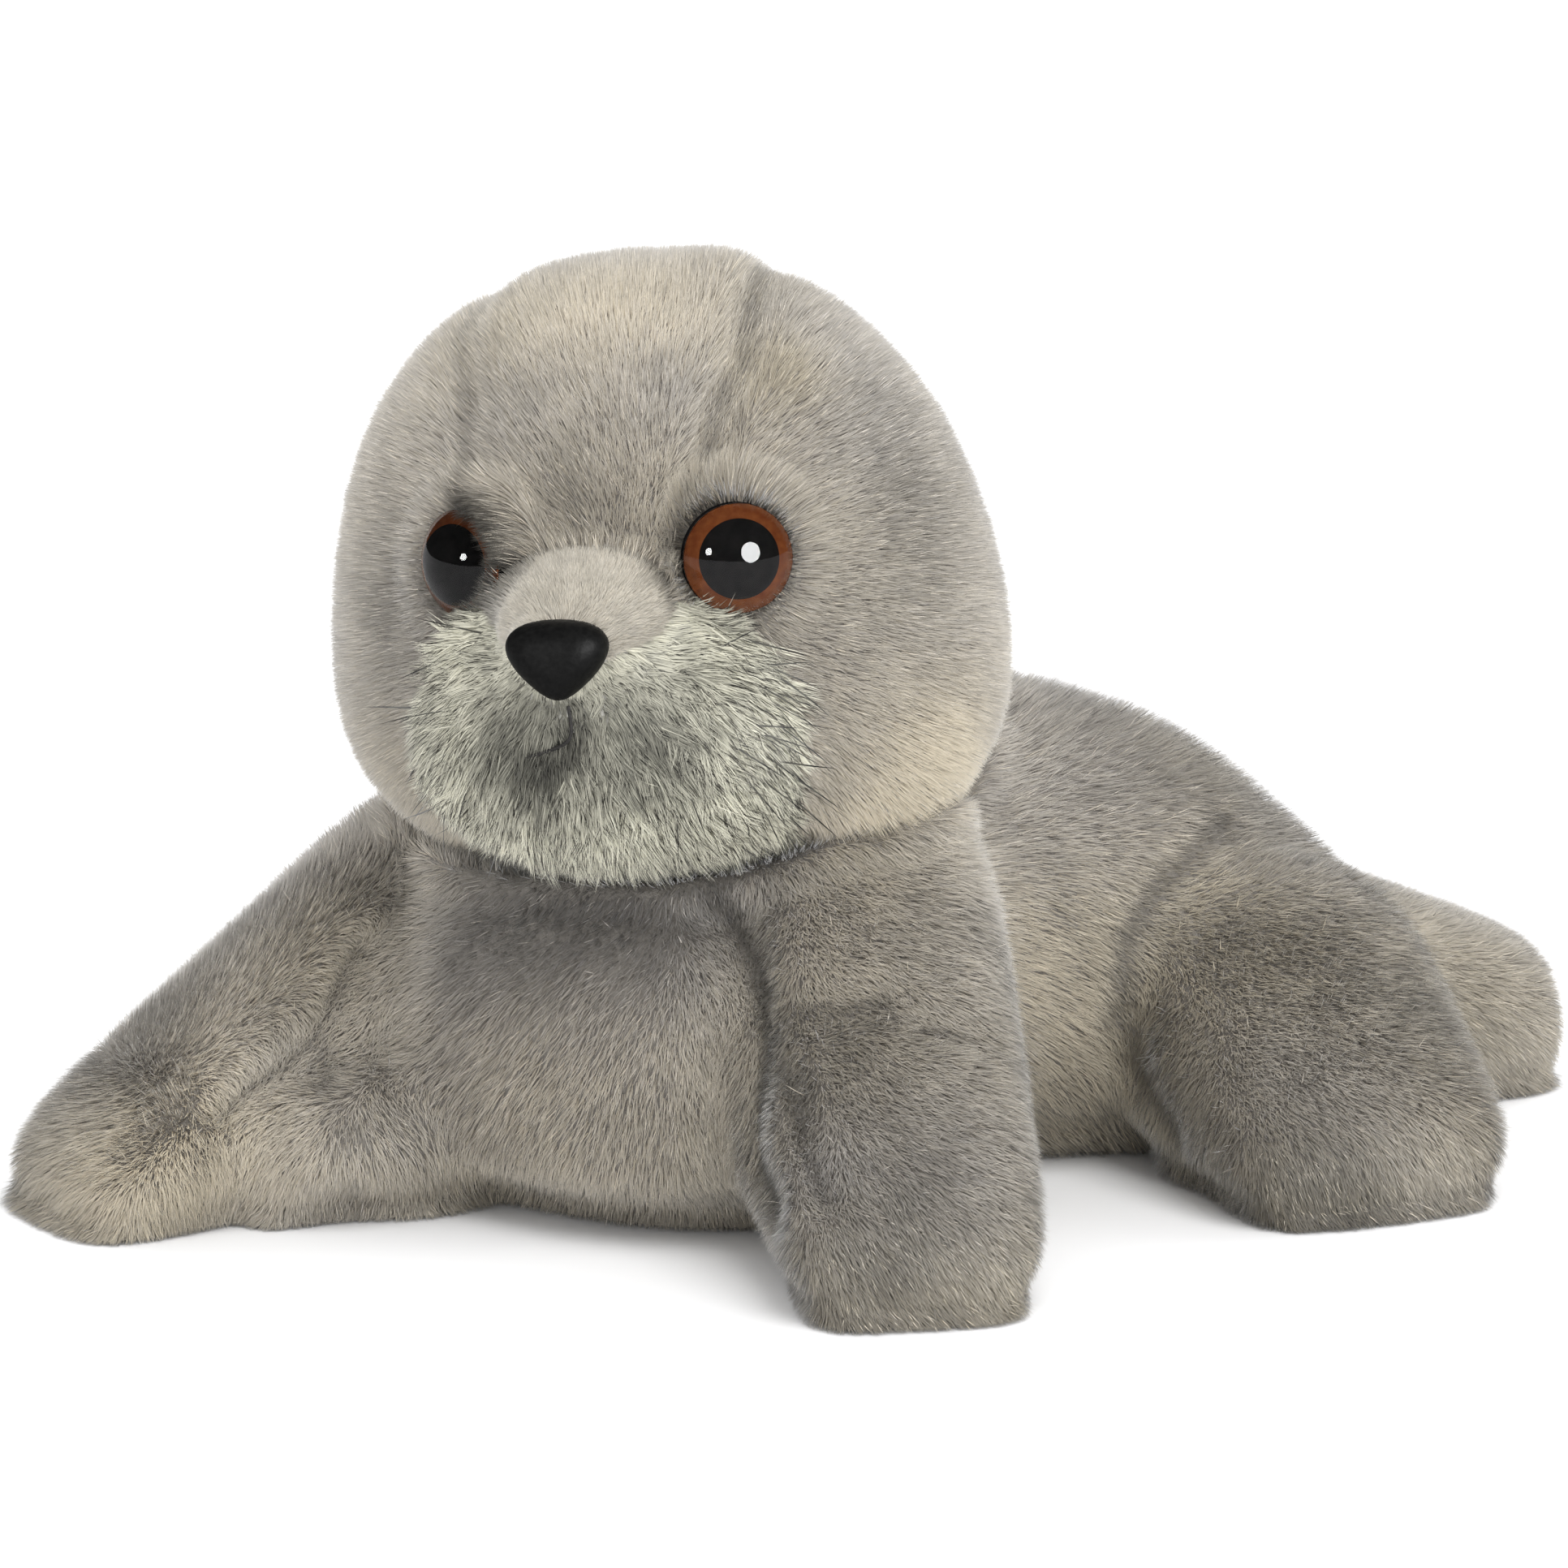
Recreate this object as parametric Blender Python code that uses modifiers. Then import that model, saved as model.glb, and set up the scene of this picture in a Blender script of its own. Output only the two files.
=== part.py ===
"""A plush seal lying on its belly, curled a little to its left, with its head up.

Metres, +Z up. The seal looks along -Y and its left side is +X. The origin is on the
floor, under the middle of the head, on the flat of the belly.
"""

import math

import bmesh
import bpy
from mathutils import Matrix, Vector

MM = 0.001
GAP = 0.3 * MM  # what two touching pieces keep between them

# Head: an egg, widest at the cheeks, given as heights above the floor
HEAD_CHEEK_Z = 76 * MM
HEAD_TOP_Z = 136.8 * MM
HEAD_JAW_Z = 45 * MM
HEAD_HALF_WIDTH = 51.2 * MM
HEAD_X = -0.6 * MM
HEAD_FACE_REACH = 40 * MM
HEAD_BACK_REACH = 44 * MM
HEAD_YAW_DEG = 7
HEAD_ROLL_DEG = 4.5

# Muzzle pad, the smooth bridge above it, and the nose, in the head's own directions
MUZZLE_CENTRE = Vector((0.5 * MM, 15 * MM - HEAD_FACE_REACH, 72.5 * MM))
MUZZLE_RADII = Vector((31, 24, 21)) * MM
BRIDGE_CENTRE = Vector((0, 6 * MM - HEAD_FACE_REACH, 89 * MM))
BRIDGE_RADII = Vector((13, 14, 10.5)) * MM
NOSE_CENTRE = Vector((0, -9.5 * MM - HEAD_FACE_REACH, 87 * MM))
NOSE_WIDTH = 15 * MM
NOSE_HEIGHT = 11.5 * MM
NOSE_DEPTH = 7 * MM
NOSE_LEAN_DEG = 8

# Mouth: an upright stitch under the nose that runs into a shallow stitched curve
STITCH_RADIUS = 0.45 * MM
MOUTH_TOP = Vector((0, 79.5)) * MM
MOUTH_TURN = Vector((0.4, 76)) * MM
MOUTH_CORNER = Vector((-12, 75)) * MM
MOUTH_DIP = 2.2 * MM

# Eyes: a clear dome over a brown ring and a black backing, whose stem goes through the cloth
EYE_RADIUS = 7.5 * MM
EYE_DOME_HEIGHT = 4 * MM
PUPIL_RADIUS = 5.6 * MM
EYE_LEFT_X = 21.6 * MM
EYE_RIGHT_X = -18.4 * MM
EYE_Y = 6.5 * MM - HEAD_FACE_REACH
EYE_Z = 97.5 * MM
EYE_TURN_DEG = 27
EYE_TILT_DEG = 4
EYE_RING_THICKNESS = 0.8 * MM
EYE_BACKING_THICKNESS = 2.2 * MM
EYE_STEM_LENGTH = 11 * MM

# Stems and their push-on washers, alike for the eyes and the nose
STEM_RADIUS = 2.25 * MM
CLOTH_THICKNESS = 2 * MM
WASHER_RADIUS = 6.5 * MM
WASHER_THICKNESS = 2 * MM
NOSE_WASHER_DEPTH = 12.5 * MM
NOSE_STEM_LENGTH = 17 * MM

# Torso: its middle line is an arc in plan, and it tapers to the rump
SPINE_RADIUS = 81 * MM
SPINE_START_DEG = 8.5
TORSO_FRONT_REACH = 37 * MM
TORSO_LENGTH_BEHIND = 121 * MM
TORSO_HALF_WIDTH = 43 * MM
TORSO_HEIGHT = 72 * MM
BELLY_SINK = 5 * MM  # how far the round belly would dip below the floor, if it weren't flat

# Front flippers: a thick wedge from the shoulder down to the floor, spread from straight ahead
SHOULDER_LEFT = Vector((24, 3, 0)) * MM
SHOULDER_RIGHT = Vector((-33, 8, 0)) * MM
SHOULDER_LEFT_TOP_Z = 77 * MM
SHOULDER_RIGHT_TOP_Z = 61 * MM
FRONT_LEFT_LENGTH = 65.7 * MM
FRONT_RIGHT_LENGTH = 76 * MM
FRONT_LEFT_SPREAD_DEG = 34.8
FRONT_RIGHT_SPREAD_DEG = 32.4
FRONT_HALF_WIDTH = 21.5 * MM
FRONT_TIP_LEFT_HEIGHT = 14 * MM
FRONT_TIP_RIGHT_HEIGHT = 9.5 * MM

# Hind flippers: from the hips, spread from straight behind
HIP_REACH = 98 * MM
HIP_OUT = 10 * MM
HIP_LEFT_TOP_Z = 48 * MM
HIP_RIGHT_TOP_Z = 40 * MM
HIND_LEFT_LENGTH = 51 * MM
HIND_RIGHT_LENGTH = 46.8 * MM
HIND_LEFT_SPREAD_DEG = 56
HIND_RIGHT_SPREAD_DEG = 34.4
HIND_LEFT_HALF_WIDTH = 25.5 * MM
HIND_RIGHT_HALF_WIDTH = 20.5 * MM
HIND_TIP_LEFT_HEIGHT = 15 * MM
HIND_TIP_RIGHT_HEIGHT = 21.5 * MM

# Stations along a flipper: share of its length, and the shares that its width, its top
# and its underside have there
FLIPPER_STATIONS = (
    (0, 1.0, 1.0, 0.1), (0.2, 1.12, 0.9, 0.02), (0.42, 1.07, 0.66, 0), (0.62, 0.99, 0.46, 0),
    (0.8, 0.95, 0.27, 0), (0.93, 0.89, 0.11, 0), (0.99, 0.65, -0.05, 0), (1.0, 0.3, -0.14, 0.03),
)

RING_SIDES = 16
ROUND_SIDES = 18


def start_scene():
    for old in list(bpy.data.objects):
        bpy.data.objects.remove(old)
    made = []
    for name in ("plush_seal", "cutters"):
        collection = bpy.data.collections.new(name)
        bpy.context.scene.collection.children.link(collection)
        made.append(collection)
    return made


PARTS, CUTTERS = start_scene()


def material(name, colour, roughness, transmission=0.0):
    made = bpy.data.materials.new(name)
    made.use_nodes = True
    shader = made.node_tree.nodes["Principled BSDF"]
    shader.inputs["Base Color"].default_value = (*colour, 1)
    shader.inputs["Roughness"].default_value = roughness
    shader.inputs["Metallic"].default_value = 0
    shader.inputs["Transmission Weight"].default_value = transmission
    made.diffuse_color = (*colour, 1)
    return made


GREY_PILE = material("grey_pile", (0.40, 0.37, 0.33), 0.9)
TIPPED_PILE = material("tipped_pile", (0.60, 0.60, 0.55), 0.9)
SMOOTH_PILE = material("smooth_pile", (0.62, 0.58, 0.53), 0.9)
BLACK_PLASTIC = material("black_plastic", (0.02, 0.02, 0.02), 0.4)
NOSE_PLASTIC = material("nose_plastic", (0.03, 0.03, 0.03), 0.6)
CLEAR_PLASTIC = material("clear_plastic", (0.95, 0.95, 0.95), 0.05, transmission=1.0)
BROWN_PLASTIC = material("brown_plastic", (0.17, 0.045, 0.012), 0.3)
WHITE_PLASTIC = material("white_plastic", (0.8, 0.8, 0.78), 0.5)
DARK_THREAD = material("dark_thread", (0.04, 0.035, 0.03), 0.8)


def new_object(name, mesh, finish, collection=PARTS):
    made = bpy.data.objects.new(name, mesh)
    collection.objects.link(made)
    if finish:
        mesh.materials.append(finish)
    if collection == CUTTERS:
        made.hide_render = True
        made.display_type = "WIRE"
    return made


def settle(piece):
    """Makes what the modifiers show the piece's own mesh."""
    bpy.context.view_layer.update()
    evaluated = piece.evaluated_get(bpy.context.evaluated_depsgraph_get())
    settled = bpy.data.meshes.new_from_object(evaluated)
    piece.modifiers.clear()
    piece.data = settled
    piece.data.name = piece.name


def boolean(piece, other, operation="DIFFERENCE"):
    cut = piece.modifiers.new(operation.lower(), "BOOLEAN")
    cut.solver = "EXACT"
    cut.operation = operation
    cut.object = other
    settle(piece)


def grown(piece):
    """A cutter of the piece's form, with every face moved out by the gap."""
    cutter = new_object(piece.name + "_clearance", piece.data.copy(), None, CUTTERS)
    swell = cutter.modifiers.new("swell", "DISPLACE")
    swell.mid_level = 0
    swell.strength = GAP
    settle(cutter)
    return cutter


def signed_power(value, exponent):
    return math.copysign(abs(value) ** exponent, value)


def ring_angles():
    return [2 * math.pi * (step + 0.5) / RING_SIDES for step in range(RING_SIDES)]


def upright_ring(centre, across, half_width, top, bottom, squareness):
    """A ring in the upright plane of across: an ellipse, or fuller as squareness grows."""
    middle_z, half_height = (top + bottom) / 2, (top - bottom) / 2
    points = []
    for angle in ring_angles():
        side = half_width * signed_power(math.cos(angle), 2 / squareness)
        rise = half_height * signed_power(math.sin(angle), 2 / squareness)
        points.append(Vector((centre.x, centre.y, middle_z + rise)) + across * side)
    return points


def loft(name, rings, finish):
    """A closed skin over the rings, with each end ring filled, then rounded."""
    mesh = bpy.data.meshes.new(name)
    skin = bmesh.new()
    made = [[skin.verts.new(point) for point in ring] for ring in rings]
    count = len(rings[0])
    for near, far in zip(made, made[1:]):
        for k in range(count):
            skin.faces.new((near[k], near[(k + 1) % count], far[(k + 1) % count], far[k]))
    skin.faces.new(made[0][::-1])
    skin.faces.new(made[-1])
    bmesh.ops.recalc_face_normals(skin, faces=skin.faces)
    skin.to_mesh(mesh)
    skin.free()
    piece = new_object(name, mesh, finish)
    rounding = piece.modifiers.new("rounding", "SUBSURF")
    rounding.levels = rounding.render_levels = 1
    settle(piece)
    return piece


def ellipsoid(name, centre, radii, finish):
    mesh = bpy.data.meshes.new(name)
    ball = bmesh.new()
    bmesh.ops.create_uvsphere(ball, u_segments=ROUND_SIDES, v_segments=12, radius=1)
    ball.to_mesh(mesh)
    ball.free()
    mesh.transform(HEAD_TURN @ Matrix.Translation(centre) @ Matrix.Diagonal((*radii, 1)))
    return new_object(name, mesh, finish)


def turned(name, profile, place, finish, collection=PARTS):
    """A piece turned about its own Z from (radius, height) points, top first, then placed.
    A profile that never meets the axis closes on itself."""
    mesh = bpy.data.meshes.new(name)
    edges = [(k, k + 1) for k in range(len(profile) - 1)]
    if all(radius for radius, _ in profile):
        edges.append((len(profile) - 1, 0))
    mesh.from_pydata([(radius, 0, height) for radius, height in profile], edges, [])
    piece = new_object(name, mesh, finish, collection)
    spin = piece.modifiers.new("turning", "SCREW")
    spin.steps = spin.render_steps = ROUND_SIDES
    spin.use_merge_vertices = True
    spin.merge_threshold = 0.00001
    settle(piece)
    piece.data.transform(place)
    return piece


def plan_across(direction):
    """The level vector square to a direction, to the left of it as seen from above."""
    return Vector((-direction.y, direction.x, 0)).normalized()


HEAD_PIVOT = Vector((0, 0, NOSE_CENTRE.z))
HEAD_TURN = (
    Matrix.Translation(HEAD_PIVOT)
    @ Matrix.Rotation(math.radians(HEAD_YAW_DEG), 4, "Z")
    @ Matrix.Rotation(-math.radians(HEAD_ROLL_DEG), 4, "Y")
    @ Matrix.Translation(-HEAD_PIVOT)
)


def make_head():
    """Level rings from jaw to crown. Each reaches further back than forward."""
    rings = []
    for share in (-1, -0.93, -0.74, -0.4, 0, 0.3, 0.56, 0.77, 0.91, 0.985):
        end_z, fullness = (HEAD_JAW_Z, 2.4) if share < 0 else (HEAD_TOP_Z, 2.15)
        z = HEAD_CHEEK_Z + abs(share) * (end_z - HEAD_CHEEK_Z)
        size = max(1 - abs(share) ** fullness, 0.02) ** (1 / fullness)
        ring = []
        for angle in ring_angles():
            reach = HEAD_BACK_REACH if math.sin(angle) > 0 else HEAD_FACE_REACH
            across = HEAD_X + HEAD_HALF_WIDTH * math.cos(angle) * size
            ring.append(Vector((across, reach * math.sin(angle) * size, z)))
        rings.append(ring)
    head = loft("head", rings, GREY_PILE)
    head.data.transform(HEAD_TURN)
    return head


def spine_point(reach):
    """The plan point and direction of the middle line, this far behind the chest's centre."""
    start = math.radians(SPINE_START_DEG)
    heading = start + max(reach, 0) / SPINE_RADIUS
    turning_centre = SPINE_RADIUS * Vector((math.cos(start), -math.sin(start), 0))
    direction = Vector((math.sin(heading), math.cos(heading), 0))
    point = turning_centre + SPINE_RADIUS * Vector((-math.cos(heading), math.sin(heading), 0))
    return point + direction * min(reach, 0), direction


def make_torso():
    """Each station has its reach, and the shares of its width, its top and its underside."""
    ahead, behind = TORSO_FRONT_REACH, TORSO_LENGTH_BEHIND
    stations = (
        (-ahead, 0.16, 0.42, 0.22), (-0.92 * ahead, 0.5, 0.6, 0.08), (-0.72 * ahead, 0.8, 0.76, 0),
        (-0.36 * ahead, 1.03, 0.9, 0), (0.05 * behind, 1.08, 0.98, 0), (0.22 * behind, 0.99, 1, 0),
        (0.42 * behind, 0.91, 1, 0), (0.58 * behind, 0.88, 0.93, 0), (0.73 * behind, 0.79, 0.79, 0),
        (0.86 * behind, 0.63, 0.63, 0.01), (0.95 * behind, 0.42, 0.5, 0.05), (behind, 0.12, 0.34, 0.14),
    )
    rings = []
    for reach, width, top, lift in stations:
        point, direction = spine_point(reach)
        bottom = lift * TORSO_HEIGHT - (BELLY_SINK if lift < 0.02 else 0)
        across = plan_across(direction)
        rings.append(upright_ring(point, across, width * TORSO_HALF_WIDTH, top * TORSO_HEIGHT, bottom, 2.25))
    return loft("torso", rings, GREY_PILE)


def make_flipper(name, root, ahead, spread_deg, length, root_top, tip_height, half_width):
    """A wedge from its root inside the body down to a blunt tip that lies on the floor.
    Seen from above, it is turned from ahead by the spread, to the left if that is positive."""
    direction = Matrix.Rotation(math.radians(spread_deg), 3, "Z") @ ahead
    tip = root + direction * length
    across = plan_across(direction)
    rings = []
    for share, width, rise, lift in FLIPPER_STATIONS:
        top = tip_height + (root_top - tip_height) * rise
        bottom = lift * root_top - (BELLY_SINK if lift < 0.03 else 0)
        rings.append(upright_ring(root.lerp(tip, share), across, width * half_width, top, bottom, 2.3))
    return loft(name, rings, GREY_PILE)


def washer_profile():
    """A washer's section, with its outer face at height 0."""
    bore = STEM_RADIUS + GAP
    return [(bore, 0), (WASHER_RADIUS, 0), (WASHER_RADIUS, -WASHER_THICKNESS), (bore, -WASHER_THICKNESS)]


def stem_hole_profile(opening, washer_top, end):
    """The room of a stem and its washer: an opening, then a bore that widens round the washer."""
    neck = STEM_RADIUS + GAP
    wide = WASHER_RADIUS + GAP
    under_washer = washer_top - WASHER_THICKNESS - 2 * GAP
    return opening + [(neck, washer_top), (wide, washer_top), (wide, under_washer),
                      (neck, under_washer), (neck, end - GAP), (0, end - GAP)]


def make_eye(side, label, eye_x, head_pieces):
    """In the eye's own frame +Z looks out of the head, and the dome's flat back is at 0."""
    turn = Matrix.Rotation(math.radians(side * EYE_TURN_DEG), 4, "Z")
    tilt = Matrix.Rotation(math.radians(90 - EYE_TILT_DEG), 4, "X")
    place = HEAD_TURN @ Matrix.Translation((eye_x, EYE_Y, EYE_Z)) @ turn @ tilt
    dome = [(0, EYE_DOME_HEIGHT)]
    for degrees in (18, 36, 54, 70, 82, 90):
        angle = math.radians(degrees)
        dome.append((EYE_RADIUS * math.sin(angle), EYE_DOME_HEIGHT * math.cos(angle)))
    dome[-1] = (EYE_RADIUS, 0)
    turned("eye_lens_" + label, dome + [(0, 0)], place, CLEAR_PLASTIC)

    front = -GAP
    ring_back = front - EYE_RING_THICKNESS
    ring_bore = PUPIL_RADIUS + GAP
    ring = [(ring_bore, front), (EYE_RADIUS, front), (EYE_RADIUS, ring_back), (ring_bore, ring_back)]
    turned("eye_ring_" + label, ring, place, BROWN_PLASTIC)

    step = ring_back - GAP
    seat = front - EYE_BACKING_THICKNESS
    stem_end = seat - EYE_STEM_LENGTH
    backing = [(0, front), (PUPIL_RADIUS, front), (PUPIL_RADIUS, step), (EYE_RADIUS, step), (EYE_RADIUS, seat),
               (STEM_RADIUS, seat), (STEM_RADIUS, stem_end), (0, stem_end)]
    turned("eye_backing_" + label, backing, place, BLACK_PLASTIC)

    washer_top = seat - CLOTH_THICKNESS
    washer_place = place @ Matrix.Translation((0, 0, washer_top - GAP))
    turned("eye_washer_" + label, washer_profile(), washer_place, WHITE_PLASTIC)
    wide = EYE_RADIUS + GAP
    opening = [(0, 4 * EYE_DOME_HEIGHT), (wide, 4 * EYE_DOME_HEIGHT), (wide, seat - GAP),
               (STEM_RADIUS + GAP, seat - GAP)]
    hole = stem_hole_profile(opening, washer_top, stem_end)
    cutter = turned("eye_room_" + label, hole, place, None, CUTTERS)
    for piece in head_pieces:
        boolean(piece, cutter)


def make_nose(head_pieces):
    """A soft triangle, point down: one outline, smaller towards its front and back."""
    tilt = Matrix.Rotation(math.radians(90 - NOSE_LEAN_DEG), 4, "X")
    place = HEAD_TURN @ Matrix.Translation(NOSE_CENTRE) @ tilt
    rings = []
    for depth, size in ((-0.5, 0.8), (-0.35, 0.97), (-0.05, 1.0), (0.22, 0.9), (0.42, 0.66), (0.5, 0.35)):
        ring = []
        for angle in ring_angles():
            rise = math.sin(angle)
            narrowing = min(0.95 + 0.5 * rise, 1.08)
            flatness = 0.75 if rise > 0 else 1
            across = NOSE_WIDTH / 2 * signed_power(math.cos(angle), flatness) * narrowing * size
            up = NOSE_HEIGHT / 2 * signed_power(rise, flatness) * size
            ring.append(place @ Vector((across, up, NOSE_DEPTH * depth)))
        rings.append(ring)
    nose = loft("nose", rings, NOSE_PLASTIC)
    room = grown(nose)
    back = -NOSE_DEPTH / 2
    stem_end = back - NOSE_STEM_LENGTH
    stem = [(0, back / 2), (STEM_RADIUS, back / 2), (STEM_RADIUS, stem_end), (0, stem_end)]
    boolean(nose, turned("nose_stem", stem, place, None, CUTTERS), "UNION")

    washer_top = back - NOSE_WASHER_DEPTH
    washer_place = place @ Matrix.Translation((0, 0, washer_top - GAP))
    turned("nose_washer", washer_profile(), washer_place, WHITE_PLASTIC)
    opening = [(0, back / 2), (STEM_RADIUS + GAP, back / 2)]
    hole = stem_hole_profile(opening, washer_top, stem_end)
    stem_room = turned("nose_stem_room", hole, place, None, CUTTERS)
    for piece in head_pieces:
        boolean(piece, room)
        boolean(piece, stem_room)


def make_mouth(muzzle):
    """A thread that lies on the muzzle: down from the nose, then along a shallow curve."""
    spots = [MOUTH_TOP.lerp(MOUTH_TURN, step / 3) for step in range(3)]
    for step in range(9):
        share = step / 8
        dip = MOUTH_DIP * math.sin(math.pi * share)
        spots.append(MOUTH_TURN.lerp(MOUTH_CORNER, share) - Vector((0, dip)))
    inward = HEAD_TURN.to_3x3() @ Vector((0, 1, 0))
    curve = bpy.data.curves.new("mouth_stitch", "CURVE")
    curve.dimensions = "3D"
    curve.bevel_depth = STITCH_RADIUS
    curve.bevel_resolution = 1
    curve.use_fill_caps = True
    line = curve.splines.new("POLY")
    line.points.add(len(spots) - 1)
    for point, spot in zip(line.points, spots):
        start = HEAD_TURN @ Vector((spot.x, 2 * NOSE_CENTRE.y, spot.y))
        _, on_cloth, normal, _ = muzzle.ray_cast(start, inward)
        point.co = (*(on_cloth + normal * (STITCH_RADIUS + 1.3 * GAP)), 1)
    thread = bpy.data.objects.new("mouth_path", curve)
    CUTTERS.objects.link(thread)
    bpy.context.view_layer.update()
    mesh = bpy.data.meshes.new_from_object(thread)
    bpy.data.objects.remove(thread)
    skin = bmesh.new()
    skin.from_mesh(mesh)
    bmesh.ops.remove_doubles(skin, verts=skin.verts, dist=0.00001)
    skin.to_mesh(mesh)
    skin.free()
    mesh.materials.clear()
    new_object("mouth_stitch", mesh, DARK_THREAD)


def main():
    head = make_head()
    muzzle = ellipsoid("muzzle", MUZZLE_CENTRE, MUZZLE_RADII, TIPPED_PILE)
    bridge = ellipsoid("nose_bridge", BRIDGE_CENTRE, BRIDGE_RADII, SMOOTH_PILE)
    torso = make_torso()
    forward = Vector((0, -1, 0))
    front_left = make_flipper("front_flipper_left", SHOULDER_LEFT, forward, FRONT_LEFT_SPREAD_DEG,
                              FRONT_LEFT_LENGTH, SHOULDER_LEFT_TOP_Z, FRONT_TIP_LEFT_HEIGHT, FRONT_HALF_WIDTH)
    front_right = make_flipper("front_flipper_right", SHOULDER_RIGHT, forward, -FRONT_RIGHT_SPREAD_DEG,
                               FRONT_RIGHT_LENGTH, SHOULDER_RIGHT_TOP_Z, FRONT_TIP_RIGHT_HEIGHT,
                               FRONT_HALF_WIDTH)
    hip, backward = spine_point(HIP_REACH)
    outward = -plan_across(backward) * HIP_OUT
    hind_left = make_flipper("hind_flipper_left", hip + outward, backward, -HIND_LEFT_SPREAD_DEG,
                             HIND_LEFT_LENGTH, HIP_LEFT_TOP_Z, HIND_TIP_LEFT_HEIGHT, HIND_LEFT_HALF_WIDTH)
    hind_right = make_flipper("hind_flipper_right", hip - outward, backward, HIND_RIGHT_SPREAD_DEG,
                              HIND_RIGHT_LENGTH, HIP_RIGHT_TOP_Z, HIND_TIP_RIGHT_HEIGHT,
                              HIND_RIGHT_HALF_WIDTH)

    # Each later piece is cut back to clear the ones that it meets
    floor_mesh = bpy.data.meshes.new("floor")
    block = bmesh.new()
    bmesh.ops.create_cube(block, size=0.6)
    block.to_mesh(floor_mesh)
    block.free()
    floor = new_object("floor", floor_mesh, None, CUTTERS)
    floor.location.z = -0.3
    head_room, muzzle_room, torso_room = grown(head), grown(muzzle), grown(torso)
    hind_right_room = grown(hind_right)
    clearances = (
        (muzzle, (head_room,)), (bridge, (head_room, muzzle_room)), (torso, (floor, head_room, muzzle_room)),
        (front_left, (floor, head_room, muzzle_room, torso_room)),
        (front_right, (floor, torso_room, head_room)),
        (hind_left, (floor, torso_room, hind_right_room)), (hind_right, (floor, torso_room)),
    )
    for piece, cutters in clearances:
        for cutter in cutters:
            boolean(piece, cutter)
    head_pieces = (head, muzzle, bridge)
    make_eye(1, "left", EYE_LEFT_X, head_pieces)
    make_eye(-1, "right", EYE_RIGHT_X, head_pieces)
    make_nose(head_pieces)
    make_mouth(muzzle)


main()
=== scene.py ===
import math

import bmesh
import bpy
import numpy as np
from mathutils import Matrix, Vector
from mathutils.bvhtree import BVHTree
from mathutils.kdtree import KDTree


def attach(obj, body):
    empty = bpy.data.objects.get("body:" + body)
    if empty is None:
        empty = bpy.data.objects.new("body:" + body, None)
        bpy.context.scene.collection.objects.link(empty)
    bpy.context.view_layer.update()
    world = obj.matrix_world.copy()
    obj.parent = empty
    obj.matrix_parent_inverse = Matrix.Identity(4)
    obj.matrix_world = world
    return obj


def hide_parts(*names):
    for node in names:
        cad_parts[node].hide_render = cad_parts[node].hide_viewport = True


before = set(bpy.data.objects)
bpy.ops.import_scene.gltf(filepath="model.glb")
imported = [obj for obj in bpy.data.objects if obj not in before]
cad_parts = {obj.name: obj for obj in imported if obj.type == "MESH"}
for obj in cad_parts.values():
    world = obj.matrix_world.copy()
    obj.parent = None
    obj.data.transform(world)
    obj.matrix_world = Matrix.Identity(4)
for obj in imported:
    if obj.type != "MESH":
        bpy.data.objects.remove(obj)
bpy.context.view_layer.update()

MM = 0.001
QUICK_SHARE = 1.0

# The head's own directions: yaw to its left, then roll, about a point at nose height
HEAD_PIVOT = Vector((0, 0, 87)) * MM
HEAD_TURN = (
    Matrix.Translation(HEAD_PIVOT)
    @ Matrix.Rotation(math.radians(7), 4, "Z")
    @ Matrix.Rotation(-math.radians(4.5), 4, "Y")
    @ Matrix.Translation(-HEAD_PIVOT)
)
NOSE_TIP = np.array((0, -50, 87)) * MM
EYES = {"left": (1, 21.6), "right": (-1, -18.4)}  # side, and x in the head's own directions
EYE_Y_Z = (-33.5, 97.5)
EYE_TURN_DEG = 27
EYE_TILT_DEG = 4
# The eyes, turned about their own axes, in millimetres
DOME_RADIUS, DOME_HEIGHT = 7.5, 4.0
DOME_CURVE = (DOME_RADIUS ** 2 + DOME_HEIGHT ** 2) / (2 * DOME_HEIGHT)
DOME_SPREAD = math.asin(DOME_RADIUS / DOME_CURVE)
PUPIL_RADIUS, STEM_RADIUS = 5.0, 2.25
LATHE_STEPS = 64

# The body: an arc for the spine, and each flipper from its root to its tip, in plan
SPINE_RADIUS = 81 * MM
SPINE_START_DEG = 8.5
FLIPPERS = {
    "front_left": ((24, 3), (61.5, -51), 23),
    "front_right": ((-33, 8), (-73.7, -56.2), 23),
    "hind_left": ((65, 57), (101.9, 22.1), 27),
    "hind_right": ((61, 77), (93.1, 111), 22),
}
HEAD_NODES = ("head", "muzzle", "nose_bridge")
BODY_NODES = ("torso", "front_flipper_left", "front_flipper_right", "hind_flipper_left",
              "hind_flipper_right")

# The seam between the two panels of its right front flipper: how high it is where it starts,
# how far along the flipper that is, and how steeply it runs down
PANEL_TOP, PANEL_START, PANEL_SLOPE = 35.5 * MM, 33 * MM, 0.75
# The web of cloth between the chest and that flipper
WEB_CENTRE, WEB_RADII, WEB_TURN_DEG = Vector((-32, -31.5, 7)) * MM, Vector((18, 11, 18)) * MM, 50

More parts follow.
